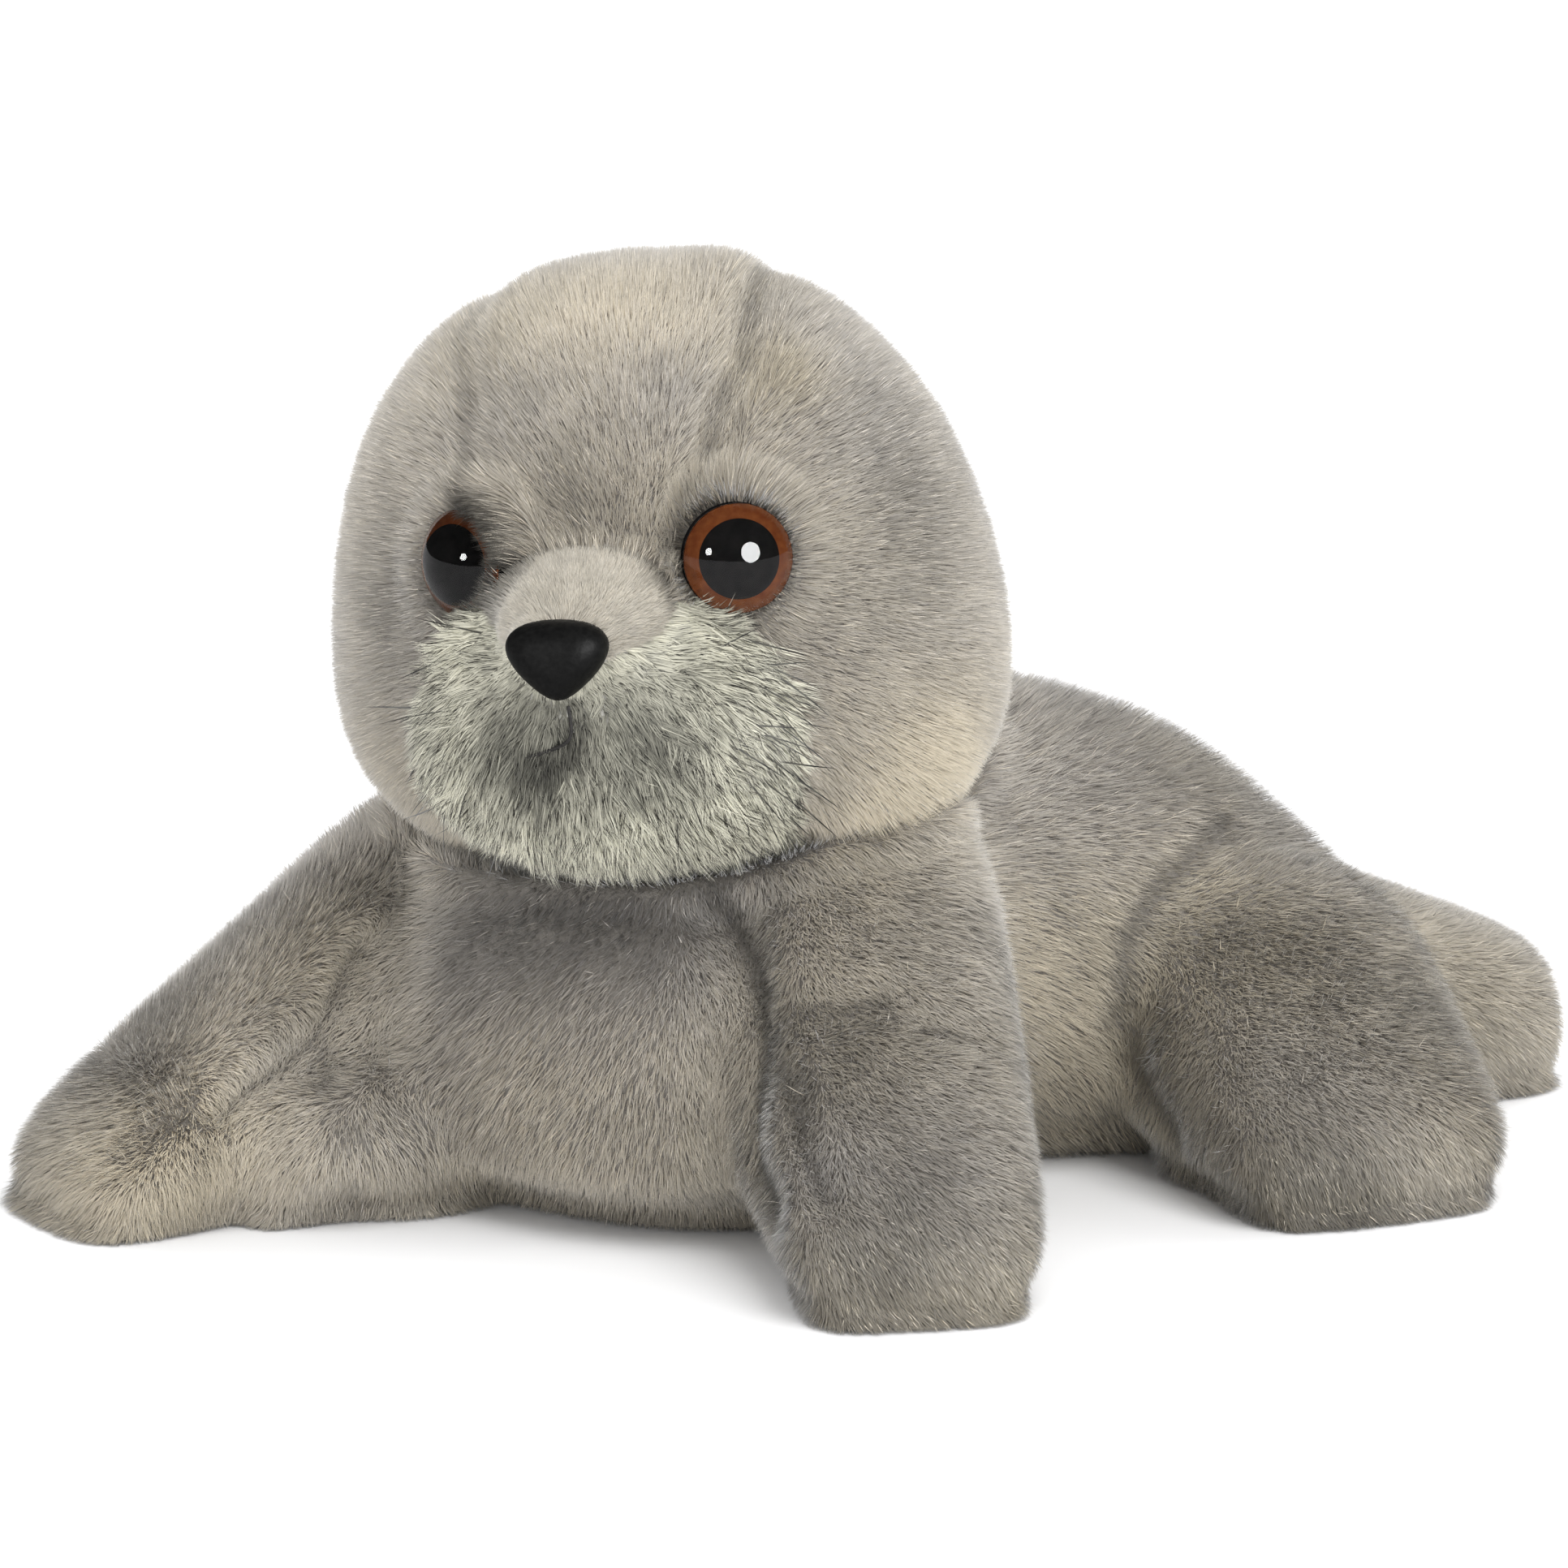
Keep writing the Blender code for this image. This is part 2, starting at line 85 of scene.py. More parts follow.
# Folds and seams, where the cloth dips and the strands carry painted shade, so that they show as
# darker lines in the pile: how deep, how wide, how much painted shade, and the points of each in
# millimetres
BODY_FOLDS = (
    (1.6, 2.0, 0.30, ((18, -25, 51), (22, -27, 47), (27, -32, 41), (30, -37, 35), (30, -40, 27),
                      (30, -42, 19), (36, -50, 15))),
    (1.0, 2.2, 0.12, ((30, -36, 36), (33, -36, 39), (40, -35, 40), (46, -31, 41))),
    (0.9, 1.2, 0.12, ((52, -31, 38), (56, -28, 37), (59, -26, 35))),
    (1.1, 1.4, 0.15, ((33, -39, 34), (36, -43, 31), (41, -49, 24), (46, -53, 19))),
    (1.2, 1.1, 0.16, ((-37, -29, 36.5), (-37, -35, 28), (-40, -39, 25), (-44, -44, 22), (-46, -48, 18.5))),
    (1.2, 1.8, 0.10, ((-37, -26, 39), (-37, -34, 28), (-36, -36, 23), (-35, -36, 15), (-34, -32, 8))),
    (1.2, 2.0, 0.22, ((64, 53, 49), (62, 37, 44), (61, 31, 40), (59, 27, 34), (58, 26, 26), (59, 26, 18),
                      (67, 21, 10))),
)
# The same for the head, in the head's own directions
HEAD_SEAMS = (
    (0.8, 1.6, 0.10, ((-21, 25, 128), (-22, 0, 133), (-23, -16, 125), (-20, -24, 119), (-19.5, -27, 114),
                      (-17, -31, 108))),
    (0.8, 1.2, 0.10, ((-17, -31, 108), (-13, -33, 103), (-10.5, -34.5, 98))),
    (1.0, 1.6, 0.15, ((19, 25, 130), (18, 0, 134), (19.5, -14, 128), (20, -20, 122), (17.5, -25, 118),
                      (16.5, -29, 110))),
    (0.8, 1.3, 0.12, ((16.5, -29, 110), (14, -32, 104), (12.5, -34, 98))),
)
# Where the skins swell out: the centre, the radius and how much, in millimetres
HEAD_SWELLS = (((34, -16, 54), 15, 3.5), ((15, -2, 134), 9, 1.6), ((-36, 0, 116), 18, 1.2))
BODY_SWELLS = (((56, 66, 62), 22, 3.0),)
# The mouth's thread, from the nose down, as x and z in the head's own directions
MOUTH_LINE = ((0.6, 80.5), (0.8, 78.3), (1, 76.2), (-0.6, 75), (-2.6, 74.2), (-4.8, 73.4), (-6.6, 72.9))

# Soft areas of the pile, partly its own tone and partly painted light and shade: painted light
# on the crown and its left cheek, and painted shade on its right side by the eye, on the chest
# under the chin and by the neck. Each holds the centre and the radius in millimetres, then how
# much lighter and how much warmer the strands are there
HEAD_TONE_AND_PAINTED_LIGHT = (
    # painted light on the crown
    ((1.6, -17, 131), 14, 0.07, 0.1),
    ((0, -34, 103), 9, -0.20, 0.0),
    ((11.4, -25.5, 119.4), 7, -0.10, -0.3),
    ((0, -28, 117), 10, -0.06, -0.1),
    ((-11.7, -28.4, 117), 9, -0.05, -0.2),
    ((-21, -25, 118), 8, -0.05, -0.1),
    ((24.7, -17.3, 120), 6, -0.04, 0.5),
    ((36.6, -11.3, 111), 16, -0.14, -0.05),
    ((42.6, -11.1, 98), 13, -0.11, -0.05),
    ((35, -24, 88.5), 12, -0.12, 0.0),
    # These four: lighter and warmer on its left cheek, partly painted light
    ((47, -7.5, 77), 11, 0.05, 0.2),
    ((41, -16, 67), 11, 0.12, 0.3),
    ((40, -10, 56), 12, 0.33, 0.2),
    ((33, -22, 56), 8, 0.16, 0.2),
    # These two: painted shade on its right side, by and below its right eye
    ((-30, -30.5, 93), 11, -0.15, -0.1),
    ((-33, -30, 78), 11, -0.07, 0.0),
)
BODY_TONE_AND_PAINTED_LIGHT = (
    # These two: painted shade on the chest under the chin
    ((-8, -30, 47), 11, -0.28, -0.3),
    ((8, -29.4, 49.5), 11, -0.28, -0.3),
    ((-19, -30.6, 39), 8, -0.12, -0.2),
    ((14.6, -33, 42), 8, -0.10, -0.2),
    ((-9, -35.7, 23.6), 13, 0.0, 0.15),
    # painted shade by the neck
    ((34, -19.5, 58), 9, -0.12, 0.2),
    ((42, -28, 46), 14, 0.06, 0.2),
    ((43.7, -41, 34.3), 11, -0.14, 0.0),
    ((58, -44, 24), 14, -0.18, 0.0),
    ((56, -54, 8), 14, -0.22, 0.0),
    ((44.3, -50.5, 23), 6, 0.05, -0.4),
    ((-48, -30, 36), 15, 0.10, 0.2),
    ((-58, -57, 13), 14, 0.22, 0.3),
    ((-44, -48, 12), 13, 0.22, 0.3),
    ((50, 54, 60), 17, -0.14, 0.1),
    ((62, 58, 52), 11, -0.10, 0.1),
    ((51.4, 19, 32), 11, 0.03, 0.45),
    ((54, 25, 19), 11, 0.05, 0.45),
    ((49, 28.5, 8), 9, 0.0, 0.4),
    ((69, 45, 42), 11, 0.04, 0.2),
    ((70, 29, 32), 13, -0.06, 0.25),
    ((82, 43, 36), 13, -0.04, 0.1),
    ((74, 18, 19), 10, 0.0, 0.25),
    ((93, 13.5, 7), 15, -0.33, 0.15),
    ((109, 30, 9.6), 8, 0.05, 0.1),
    ((95, 88, 20), 14, -0.06, 0.2),
)

PILE_DEPTH = 2.4 * MM  # the cloth lies this far inside the outline
HUE_BANDS = 5  # the strand map holds this many hues of strand, one above the other
FLOOR_CLEARANCE = 0.3 * MM
HEAD_LEAN_DEG, TORSO_LEAN_DEG, FLIPPER_LEAN_DEG, MUZZLE_LEAN_DEG, GLINT_LEAN_DEG = 58, 54, 42, 26, 74

CAMERA_AZIMUTH, CAMERA_ELEVATION = 24, 13  # degrees
CAMERA_TARGET, CAMERA_DISTANCE, CAMERA_LENS = Vector((14.9, 6.4, 59.1)) * MM, 1.0, 162.03
LIGHT_TARGET, LIGHT_DISTANCE = Vector((0.01, 0, 0.09)), 1.2
PHOTO_RIGHT = np.array((0.914, 0.407, 0))  # the way to the right in the camera's view


# ---- numbers ----


def smooth_step(low, high, value):
    share = np.clip((value - low) / (high - low), 0, 1)
    return share * share * (3 - 2 * share)


def fade(low, high, value):
    """A smooth step between two measures in millimetres."""
    return smooth_step(low * MM, high * MM, value)


def unit(vectors):
    return vectors / np.maximum(np.linalg.norm(vectors, axis=1, keepdims=True), 1e-9)


def lumps(points, size, seed):
    """Smooth noise from -1 to 1, whose lumps are about this many millimetres."""
    table = np.random.default_rng(seed).uniform(-1, 1, (32, 32, 32))
    at = points / (size * MM)
    low = np.floor(at).astype(int)
    part = at - low
    part = part * part * (3 - 2 * part)
    total = np.zeros(len(points))
    for corner in np.ndindex(2, 2, 2):
        share = np.prod(np.where(corner, part, 1 - part), axis=1)
        total += share * table[tuple(((low + corner) % 32).T)]
    return total


def moved(matrix, points):
    """Points, as rows, moved by a 4 x 4 matrix."""
    matrix = np.array(matrix)
    return points @ matrix[:3, :3].T + matrix[:3, 3]


def turned_rows(matrix, vectors):
    return vectors @ np.array(matrix)[:3, :3].T


def in_head(points):
    """Points in the head's own directions."""
    return moved(HEAD_TURN.inverted(), points)


def along_surface(directions, normals):
    return unit(directions - normals * np.sum(directions * normals, axis=1, keepdims=True))


def point_tree(points):
    tree = KDTree(len(points))
    for k, point in enumerate(points):
        tree.insert(point, k)
    tree.balance()
    return tree


def nearness(points, centre, radius):
    """1 at a centre, and less and less round it. The centre and the radius are in millimetres."""
    distance = np.linalg.norm(points - np.array(centre) * MM, axis=1)
    return np.exp(-(distance / (radius * MM)) ** 2)


class Folds:
    """How near points lie to any of a set of folds, which run over the outline of the pile."""

    def __init__(self, folds, place=Matrix()):
        spots, values = [], []
        for depth, width, fold_shade, path in folds:
            path = np.array(path, float) * MM
            for start, end in zip(path, path[1:]):
                steps = max(int(np.linalg.norm(end - start) / (0.6 * MM)), 1)
                for step in range(steps):
                    spots.append(start + (end - start) * step / steps)
                    values.append((depth * MM, width * MM, fold_shade))
        self.values = np.array(values)
        self.plant(moved(place, np.array(spots)), PILE_DEPTH)

    def plant(self, spots, above):
        """Keeps the folds' points, which lie this far above the cloth."""
        self.spots, self.above, self.tree = spots, above, point_tree(spots)

    def lay_on(self, skin):
        """Moves the folds from the outline of the pile onto a finished skin."""
        tree = mesh_tree([skin])
        self.plant(np.array([tree.find_nearest(Vector(spot))[0] for spot in self.spots]), 0)

    def at(self, points):
        """The depth and the painted shade of the nearest fold at each point on the cloth."""
        found = [self.tree.find(row)[1:] for row in points]
        index = np.array([k for k, _ in found])
        distance = np.maximum(np.array([d for _, d in found]) - self.above, 0)
        depth, width, fold_shade = self.values[index].T
        share = np.exp(-(distance / width) ** 2)
        return depth * share, 1.4 * fold_shade * share


def patched(points, patches):
    """How much lighter and how much warmer the strands at these points are, by their own tone and
    by painted light and shade.
    """
    lighter, warmer = np.zeros(len(points)), np.zeros(len(points))
    for centre, radius, light, warm in patches:
        share = nearness(points, centre, radius)
        lighter += light * share
        warmer += warm * share
    return lighter, warmer


def swells(points, places):
    return sum(height * MM * nearness(points, centre, radius) for centre, radius, height in places)


# ---- making objects ----


def pick(*objects):
    bpy.ops.object.select_all(action="DESELECT")
    for thing in objects:
        thing.select_set(True)
    bpy.context.view_layer.objects.active = objects[0]


def apply_modifier(thing, kind, **settings):
    modifier = thing.modifiers.new(kind.lower(), kind)
    for key, value in settings.items():
        setattr(modifier, key, value)
    pick(thing)
    bpy.ops.object.modifier_apply(modifier=modifier.name)


def add_object(name, data, *materials):
    thing = bpy.data.objects.new(name, data)
    bpy.context.scene.collection.objects.link(thing)
    if materials:
        dress(thing, *materials)
    return thing


def dress(thing, *materials):
    """Gives a mesh these materials and no others."""
    thing.data.materials.clear()
    for material in materials:
        thing.data.materials.append(material)


def cad_copy(name, node):
    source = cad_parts[node]
    mesh = source.data.copy()
    mesh.transform(source.matrix_world)
    merge = bmesh.new()
    merge.from_mesh(mesh)
    bmesh.ops.remove_doubles(merge, verts=merge.verts, dist=0.00002)
    merge.to_mesh(mesh)
    merge.free()
    mesh.materials.clear()
    return add_object(name, mesh)


def vertex_rows(mesh, key="co"):
    rows = np.empty(len(mesh.vertices) * 3)
    mesh.vertices.foreach_get(key, rows)
    return rows.reshape(-1, 3)


def set_vertex_rows(mesh, rows):
    mesh.vertices.foreach_set("co", rows.astype(np.float32).ravel())
    mesh.update()


def shade_smooth(thing):
    thing.data.polygons.foreach_set("use_smooth", [True] * len(thing.data.polygons))
    thing.data.update()


def finish_piece(thing, slot, *nodes):
    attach(thing, "root")
    if nodes:
        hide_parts(*nodes)
    return thing


# ---- materials ----


class Nodes:
    """A material's nodes, with short ways to add and link them."""

    def __init__(self, name, **shader_values):
        self.material = bpy.data.materials.new(name)
        self.material.use_nodes = True
        self.tree = self.material.node_tree
        self.shader = self.tree.nodes["Principled BSDF"]
        for key, value in shader_values.items():
            self.shader.inputs[key.replace("_", " ")].default_value = value

    def add(self, kind, inputs=None, **settings):
        node = self.tree.nodes.new(kind)
        for key, value in settings.items():
            setattr(node, key, value)
        for key, value in (inputs or {}).items():
            if isinstance(value, bpy.types.NodeSocket):
                self.tree.links.new(value, node.inputs[key])
            else:
                node.inputs[key].default_value = value
        return node

    def link(self, socket, key):
        self.tree.links.new(socket, self.shader.inputs[key])

    def ramp(self, factor, stops):
        node = self.add("ShaderNodeValToRGB", {"Fac": factor})
        elements = node.color_ramp.elements
        while len(elements) < len(stops):
            elements.new(0.5)
        for element, (place, colour) in zip(elements, stops):
            element.position = place
            element.color = (*colour, 1)
        return node.outputs["Color"]

    def mix(self, a, b, factor, blend="MIX"):
        node = self.add("ShaderNodeMix", {0: factor}, data_type="RGBA", blend_type=blend)
        for key, value in ((6, a), (7, b)):
            if isinstance(value, bpy.types.NodeSocket):
                self.tree.links.new(value, node.inputs[key])
            else:
                node.inputs[key].default_value = (*value, 1)
        return node.outputs[2]

    def noise(self, scale, detail=3.0):
        place = self.add("ShaderNodeTexCoord").outputs["Object"]
        node = self.add("ShaderNodeTexNoise", {"Vector": place, "Scale": scale, "Detail": detail})
        return node.outputs["Fac"]

    def bump(self, height, strength, distance):
        node = self.add("ShaderNodeBump", {"Height": height, "Strength": strength, "Distance": distance})
        self.link(node.outputs["Normal"], "Normal")


def value_group(name, outputs):
    """A node group with these number outputs, and a function that fills one of them."""
    group = bpy.data.node_groups.new(name, "ShaderNodeTree")
    for output in outputs:
        group.interface.new_socket(name=output, in_out="OUTPUT", socket_type="NodeSocketFloat")
    ends = group.nodes.new("NodeGroupOutput")

    def fill(output, socket):
        group.links.new(socket, ends.inputs[output])

    return group, fill


def strand_map_group():
    """What the strand map says: the strand's tone across it and, up it, bands for the hues from
    cool to warm, each of which runs from root to tip."""
    group, fill = value_group("strand map", ("Tone", "Rise", "Hue"))
    place = group.nodes.new("ShaderNodeUVMap")
    place.uv_map = "OFBake"
    split = group.nodes.new("ShaderNodeSeparateXYZ")
    group.links.new(place.outputs["UV"], split.inputs["Vector"])
    fill("Tone", split.outputs["X"])

    def step(operation, source, value=0.0):
        node = group.nodes.new("ShaderNodeMath")
        node.operation = operation
        group.links.new(source, node.inputs[0])
        node.inputs[1].default_value = value
        return node.outputs["Value"]

    bands = step("MULTIPLY", split.outputs["Y"], HUE_BANDS)
    fill("Rise", step("FRACT", bands))
    fill("Hue", step("MULTIPLY", step("FLOOR", bands), 1 / (HUE_BANDS - 1)))
    return group


def knit_group():
    """The backing cloth's soft patches and its fine weave."""
    group, fill = value_group("knit", ("Patches", "Weave"))
    place = group.nodes.new("ShaderNodeTexCoord").outputs["Object"]
    for output, scale, detail in (("Patches", 120.0, 3.0), ("Weave", 2500.0, 5.0)):
        noise = group.nodes.new("ShaderNodeTexNoise")
        noise.inputs["Scale"].default_value = scale
        noise.inputs["Detail"].default_value = detail
        group.links.new(place, noise.inputs["Vector"])
        fill(output, noise.outputs["Fac"])
    return group


STRAND_MAP, KNIT = strand_map_group(), knit_group()


def strand_material(name, tones, other_tones, shades, other_shades, roughness=0.6):
    """Each pair holds what the coolest and the warmest strands have: their tones, and the painted
    shade that darkens them towards the root, which for the muzzle's black-tipped strands also
    holds their real black tips."""
    nodes = Nodes(name, Roughness=roughness, Specular_IOR_Level=0.2, Sheen_Weight=1.0, Sheen_Roughness=0.4)
    strand = nodes.add("ShaderNodeGroup", node_tree=STRAND_MAP).outputs
    colour, shade = (nodes.mix(nodes.ramp(strand[key], cool), nodes.ramp(strand[key], warm), strand["Hue"])
                     for key, cool, warm in (("Tone", tones, other_tones), ("Rise", shades, other_shades)))
    nodes.link(nodes.mix(colour, shade, 1.0, "MULTIPLY"), "Base Color")
    return nodes.material


def cloth_material(name, dark, light):
    """The backing cloth: a fine knit with colour that varies, seen between the strands."""
    nodes = Nodes(name, Roughness=0.95, Specular_IOR_Level=0.1, Sheen_Weight=0.2)
    knit = nodes.add("ShaderNodeGroup", node_tree=KNIT).outputs
    nodes.link(nodes.ramp(knit["Patches"], ((0.3, dark), (0.7, light))), "Base Color")
    nodes.bump(knit["Weave"], 0.6, 0.0004)
    return nodes.material


def tones_of(hue):
    """Five tones from dark to light of one hue."""
    return tuple((place, tuple(level * part for part in hue))
                 for place, level in ((0.0, 0.07), (0.3, 0.27), (0.6, 0.54), (0.85, 0.80), (1.0, 0.97)))


COOL, WARM = (1.0, 0.965, 0.93), (1.0, 0.90, 0.70)
WHITE, CREAM = (1.0, 0.975, 0.80), (1.0, 0.95, 0.84)
# Painted shade down each strand, darkest at the root; the black-tipped ramp also holds real black tips
ROOT_SHADE_TO_TIP = ((0.0, (0.66, 0.62, 0.59)), (0.5, (0.90, 0.89, 0.88)), (0.9, (1.0, 1.0, 1.0)))
PALE_ROOT_SHADE = ((0.0, (0.80, 0.79, 0.77)), (0.5, (0.94, 0.94, 0.93)), (0.9, (1.0, 1.0, 1.0)))
ROOT_SHADE_BLACK_TIP = ((0.0, (0.6, 0.6, 0.58)), (0.55, (0.9, 0.9, 0.88)), (0.64, (0.04, 0.035, 0.03)))

grey_strands = strand_material("grey strands", tones_of(COOL), tones_of(WARM), ROOT_SHADE_TO_TIP, ROOT_SHADE_TO_TIP)
muzzle_strands = strand_material("muzzle strands", tones_of(WHITE), tones_of(WHITE), PALE_ROOT_SHADE, ROOT_SHADE_BLACK_TIP,
                                 roughness=0.5)
cream_strands = strand_material("cream strands", tones_of(CREAM), tones_of(WARM), ROOT_SHADE_TO_TIP, ROOT_SHADE_TO_TIP)
grey_cloth = cloth_material("grey backing", (0.20, 0.185, 0.165), (0.28, 0.26, 0.23))
pale_cloth = cloth_material("pale backing", (0.38, 0.37, 0.33), (0.52, 0.51, 0.46))


# ---- cloth skins ----


def eye_place(label):
    side, x = EYES[label]
    turn = Matrix.Rotation(math.radians(side * EYE_TURN_DEG), 4, "Z")
    tilt = Matrix.Rotation(math.radians(90 - EYE_TILT_DEG), 4, "X")
    return HEAD_TURN @ Matrix.Translation(Vector((x, *EYE_Y_Z)) * MM) @ turn @ tilt


def from_eye(points):
    """The distance from the nearer eye's axis in front of the head, and the way out from it."""
    least = np.full(len(points), 1.0)
    away = np.zeros((len(points), 3))
    for label in EYES:
        place = eye_place(label)
        own = moved(place.inverted(), points)
        radius = np.linalg.norm(own[:, :2], axis=1)
        near = (radius < least) & (own[:, 2] > -15 * MM)
        least[near] = radius[near]
        flat = own * (1, 1, 0)
        away[near] = unit(turned_rows(place, flat))[near]
    return least, away


def from_nose(points):
    """The distance from the middle of the nose, in the face's own upright plane."""
    own = in_head(points)
    return np.hypot(own[:, 0], own[:, 2] - NOSE_TIP[2])


body_folds = Folds(BODY_FOLDS)
head_seams = Folds(HEAD_SEAMS, HEAD_TURN)


def bridge_share(points):
    """How far out points lie on the bridge's oval, whose edge is at 1."""
    x, _, z = in_head(points).T / MM
    return np.hypot((x + 0.3) / 12, (z - 92) / np.where(z > 92, 7.0, 6.5))


def face_areas(points):
    """Which points of the head's skin lie in the long white pile, and which on the cream bridge."""
    x, y, z = in_head(points).T / MM
    wobble = 1 + 0.06 * lumps(points, 2.5, 71)
    height = np.where(z > 73, 20.5, 21)
    white = (np.abs(x - 0.6) / 25.2) ** 2.4 + (np.abs(z - 73) / height) ** 2.4 < wobble
    cream = (bridge_share(points) < wobble) & (y < -24)
    return white & ~cream & (y < -12), cream


def head_depth(rows):
    """The cloth comes up to the outline round the eyes, by the nose and on the bridge, and dips
    along the seams."""
    radius, _ = from_eye(rows)
    y = in_head(rows)[:, 1] / MM
    eyes = 0.25 + 0.75 * fade(8.5, 14, radius)
    nose = 0.4 + 0.6 * fade(7, 14, from_nose(rows))
    bridge = np.where(y < -20, 0.45 + 0.55 * smooth_step(1, 1.3, bridge_share(rows)), 1)
    return PILE_DEPTH * np.minimum(np.minimum(eyes, nose), bridge) + head_seams.at(rows)[0]


def clear_of_head(rows):
    """0 where the body touches the head, whose pile needs its cloth there, and 1 further off."""
    tree = mesh_tree([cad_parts["head"]])
    distance = np.array([tree.find_nearest(Vector(row))[3] for row in rows])
    return fade(1, 6, distance)


def body_depth(rows):
    return (PILE_DEPTH + body_folds.at(rows)[0]) * clear_of_head(rows) - swells(rows, BODY_SWELLS)


def sink(thing, depth_at):
    """Moves the cloth in along its normals, and lets what lay on the floor stay there."""
    rows = vertex_rows(thing.data)
    normals = vertex_rows(thing.data, "normal")
    resting = fade(3.5, 0.5, rows[:, 2])
    rows -= normals * (depth_at(rows) * np.where(normals[:, 2] < -0.2, 1 - resting, 1))[:, None]
    rows[:, 2] = np.maximum(rows[:, 2], FLOOR_CLEARANCE)
    set_vertex_rows(thing.data, rows)


def body_skin():
    """One skin over the torso and the flippers, which are swelled so that they meet, then smoothed."""
    swell = 0.45 * MM
    copies = []
    for node in BODY_NODES:
        copy = cad_copy("body_cloth", node)
        set_vertex_rows(copy.data, vertex_rows(copy.data) + vertex_rows(copy.data, "normal") * swell)
        copies.append(copy)
    bpy.ops.mesh.primitive_uv_sphere_add(segments=32, ring_count=16, radius=1, location=(0, 0, 0))
    web = bpy.context.view_layer.objects.active
    turn = Matrix.Rotation(math.radians(WEB_TURN_DEG), 4, "Z")
    web.data.transform(Matrix.Translation(WEB_CENTRE) @ turn @ Matrix.Diagonal((*WEB_RADII, 1)))
    pick(*copies, web)
    bpy.ops.object.join()
    skin = bpy.context.view_layer.objects.active
    skin.name = skin.data.name = "body_cloth"
    apply_modifier(skin, "REMESH", mode="VOXEL", voxel_size=1.9 * MM)
    apply_modifier(skin, "SMOOTH", factor=0.5, iterations=9)
    sink(skin, lambda rows: body_depth(rows) + swell)
    tuck_chest(skin)
    round_feet(skin)
    dress(skin, grey_cloth)
    shade_smooth(skin)
    return skin


def mesh_tree(things):
    """A search tree over several objects' faces."""
    points, faces = [], []
    for thing in things:
        start = len(points)
        mesh = thing.data
        points += [thing.matrix_world @ v.co for v in mesh.vertices]
        faces += [[start + k for k in p.vertices] for p in mesh.polygons]
    return BVHTree.FromPolygons(points, faces)


def head_skin():
    """A ball whose points are drawn in onto the head with its pads, and the eyes' rooms filled."""
    filled = (*HEAD_NODES, "eye_backing_left", "eye_backing_right", "eye_ring_left", "eye_ring_right",
              "nose")
    tree = mesh_tree([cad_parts[node] for node in filled])
    bpy.ops.mesh.primitive_ico_sphere_add(subdivisions=7, radius=0.2, location=(0, 0, 0))
    skin = bpy.context.view_layer.objects.active
    skin.name = skin.data.name = "head_cloth"
    rows = vertex_rows(skin.data)
    for k, row in enumerate(rows):
        start = HEAD_PIVOT + Vector(row)
        rows[k] = tree.ray_cast(start, -Vector(row).normalized())[0]
    # The chin is drawn up under its pile
    own = in_head(rows)
    chin = fade(-12, -24, own[:, 1]) * np.maximum(66 * MM - own[:, 2], 0)
    swelling = swells(own, HEAD_SWELLS)
    own[:, 2] += 0.2 * chin * fade(30, 18, own[:, 0])
    own += unit(own - np.array(HEAD_PIVOT)) * swelling[:, None]
    set_vertex_rows(skin.data, moved(HEAD_TURN, own))
    apply_modifier(skin, "SMOOTH", factor=0.5, iterations=14)
    sink(skin, head_depth)
    apply_modifier(skin, "DECIMATE", ratio=0.4)
    dress(skin, grey_cloth, pale_cloth)
    white, cream = face_areas(np.array([p.center for p in skin.data.polygons]))
    skin.data.polygons.foreach_set("material_index", (white | cream).astype(np.int32))
    shade_smooth(skin)
    return skin


def tuck_chest(skin):
    """Rounds the chest in towards the floor."""
    rows = vertex_rows(skin.data)
    x, y, z = rows.T
    front = fade(-10, -30, y) * fade(40, 28, np.abs(x + 2 * MM))
    rows[:, 1] += 8.5 * MM * front * fade(14, 0, z) ** 1.5
    set_vertex_rows(skin.data, rows)


def by_flipper(points):
    """For each flipper in turn, in plan: its name, half its width in millimetres, its length and
    direction, and how far points are from its root, along it and aside of it."""
    for label, (root, tip, half) in FLIPPERS.items():
        root, tip = np.array(root) * MM, np.array(tip) * MM
        length = np.linalg.norm(tip - root)
        along = (tip - root) / length
        flat = points[:, :2] - root
        aside = np.abs(flat @ np.array((-along[1], along[0])))
        yield label, half, length, along, flat, flat @ along, aside


def round_feet(skin):
    """Draws the flippers in towards their middle lines near the floor."""
    rows = vertex_rows(skin.data)
    near_floor = fade(11, 0, rows[:, 2]) ** 1.3
    for _, half, length, along, flat, reach, aside in by_flipper(rows):
        away = flat - along * np.clip(reach, 0, 0.75 * length)[:, None]
        share = near_floor * smooth_step(0.3, 0.55, reach / length) * fade(half + 8, half, aside)
        rows[:, :2] -= away * (0.11 * share)[:, None]
    set_vertex_rows(skin.data, rows)


head, body = head_skin(), body_skin()
body_folds.lay_on(body)
head_seams.lay_on(head)


# ---- pile ----


def scattered(mesh, count, weight, rng):
    """Random points over a mesh, with its smooth normals. weight says how thickly, from 0 to 1."""
    mesh.calc_loop_triangles()
    corners = np.empty(len(mesh.loop_triangles) * 3, np.int32)
    mesh.loop_triangles.foreach_get("vertices", corners)
    corners = corners.reshape(-1, 3)
    rows = vertex_rows(mesh)
    normals = vertex_rows(mesh, "normal")
    a, b, c = (rows[corners[:, k]] for k in range(3))
    area = np.linalg.norm(np.cross(b - a, c - a), axis=1)
    area = area * weight((a + b + c) / 3, unit(normals[corners].mean(axis=1)))
    chosen = rng.choice(len(corners), count, p=area / area.sum())
    share = rng.random((count, 2))
    flip = share.sum(axis=1) > 1
    share[flip] = 1 - share[flip]
    parts = np.column_stack((1 - share.sum(axis=1), share))[:, :, None]
    places = (rows[corners[chosen]] * parts).sum(axis=1)
    facing = unit((normals[corners[chosen]] * parts).sum(axis=1))
    return places, facing


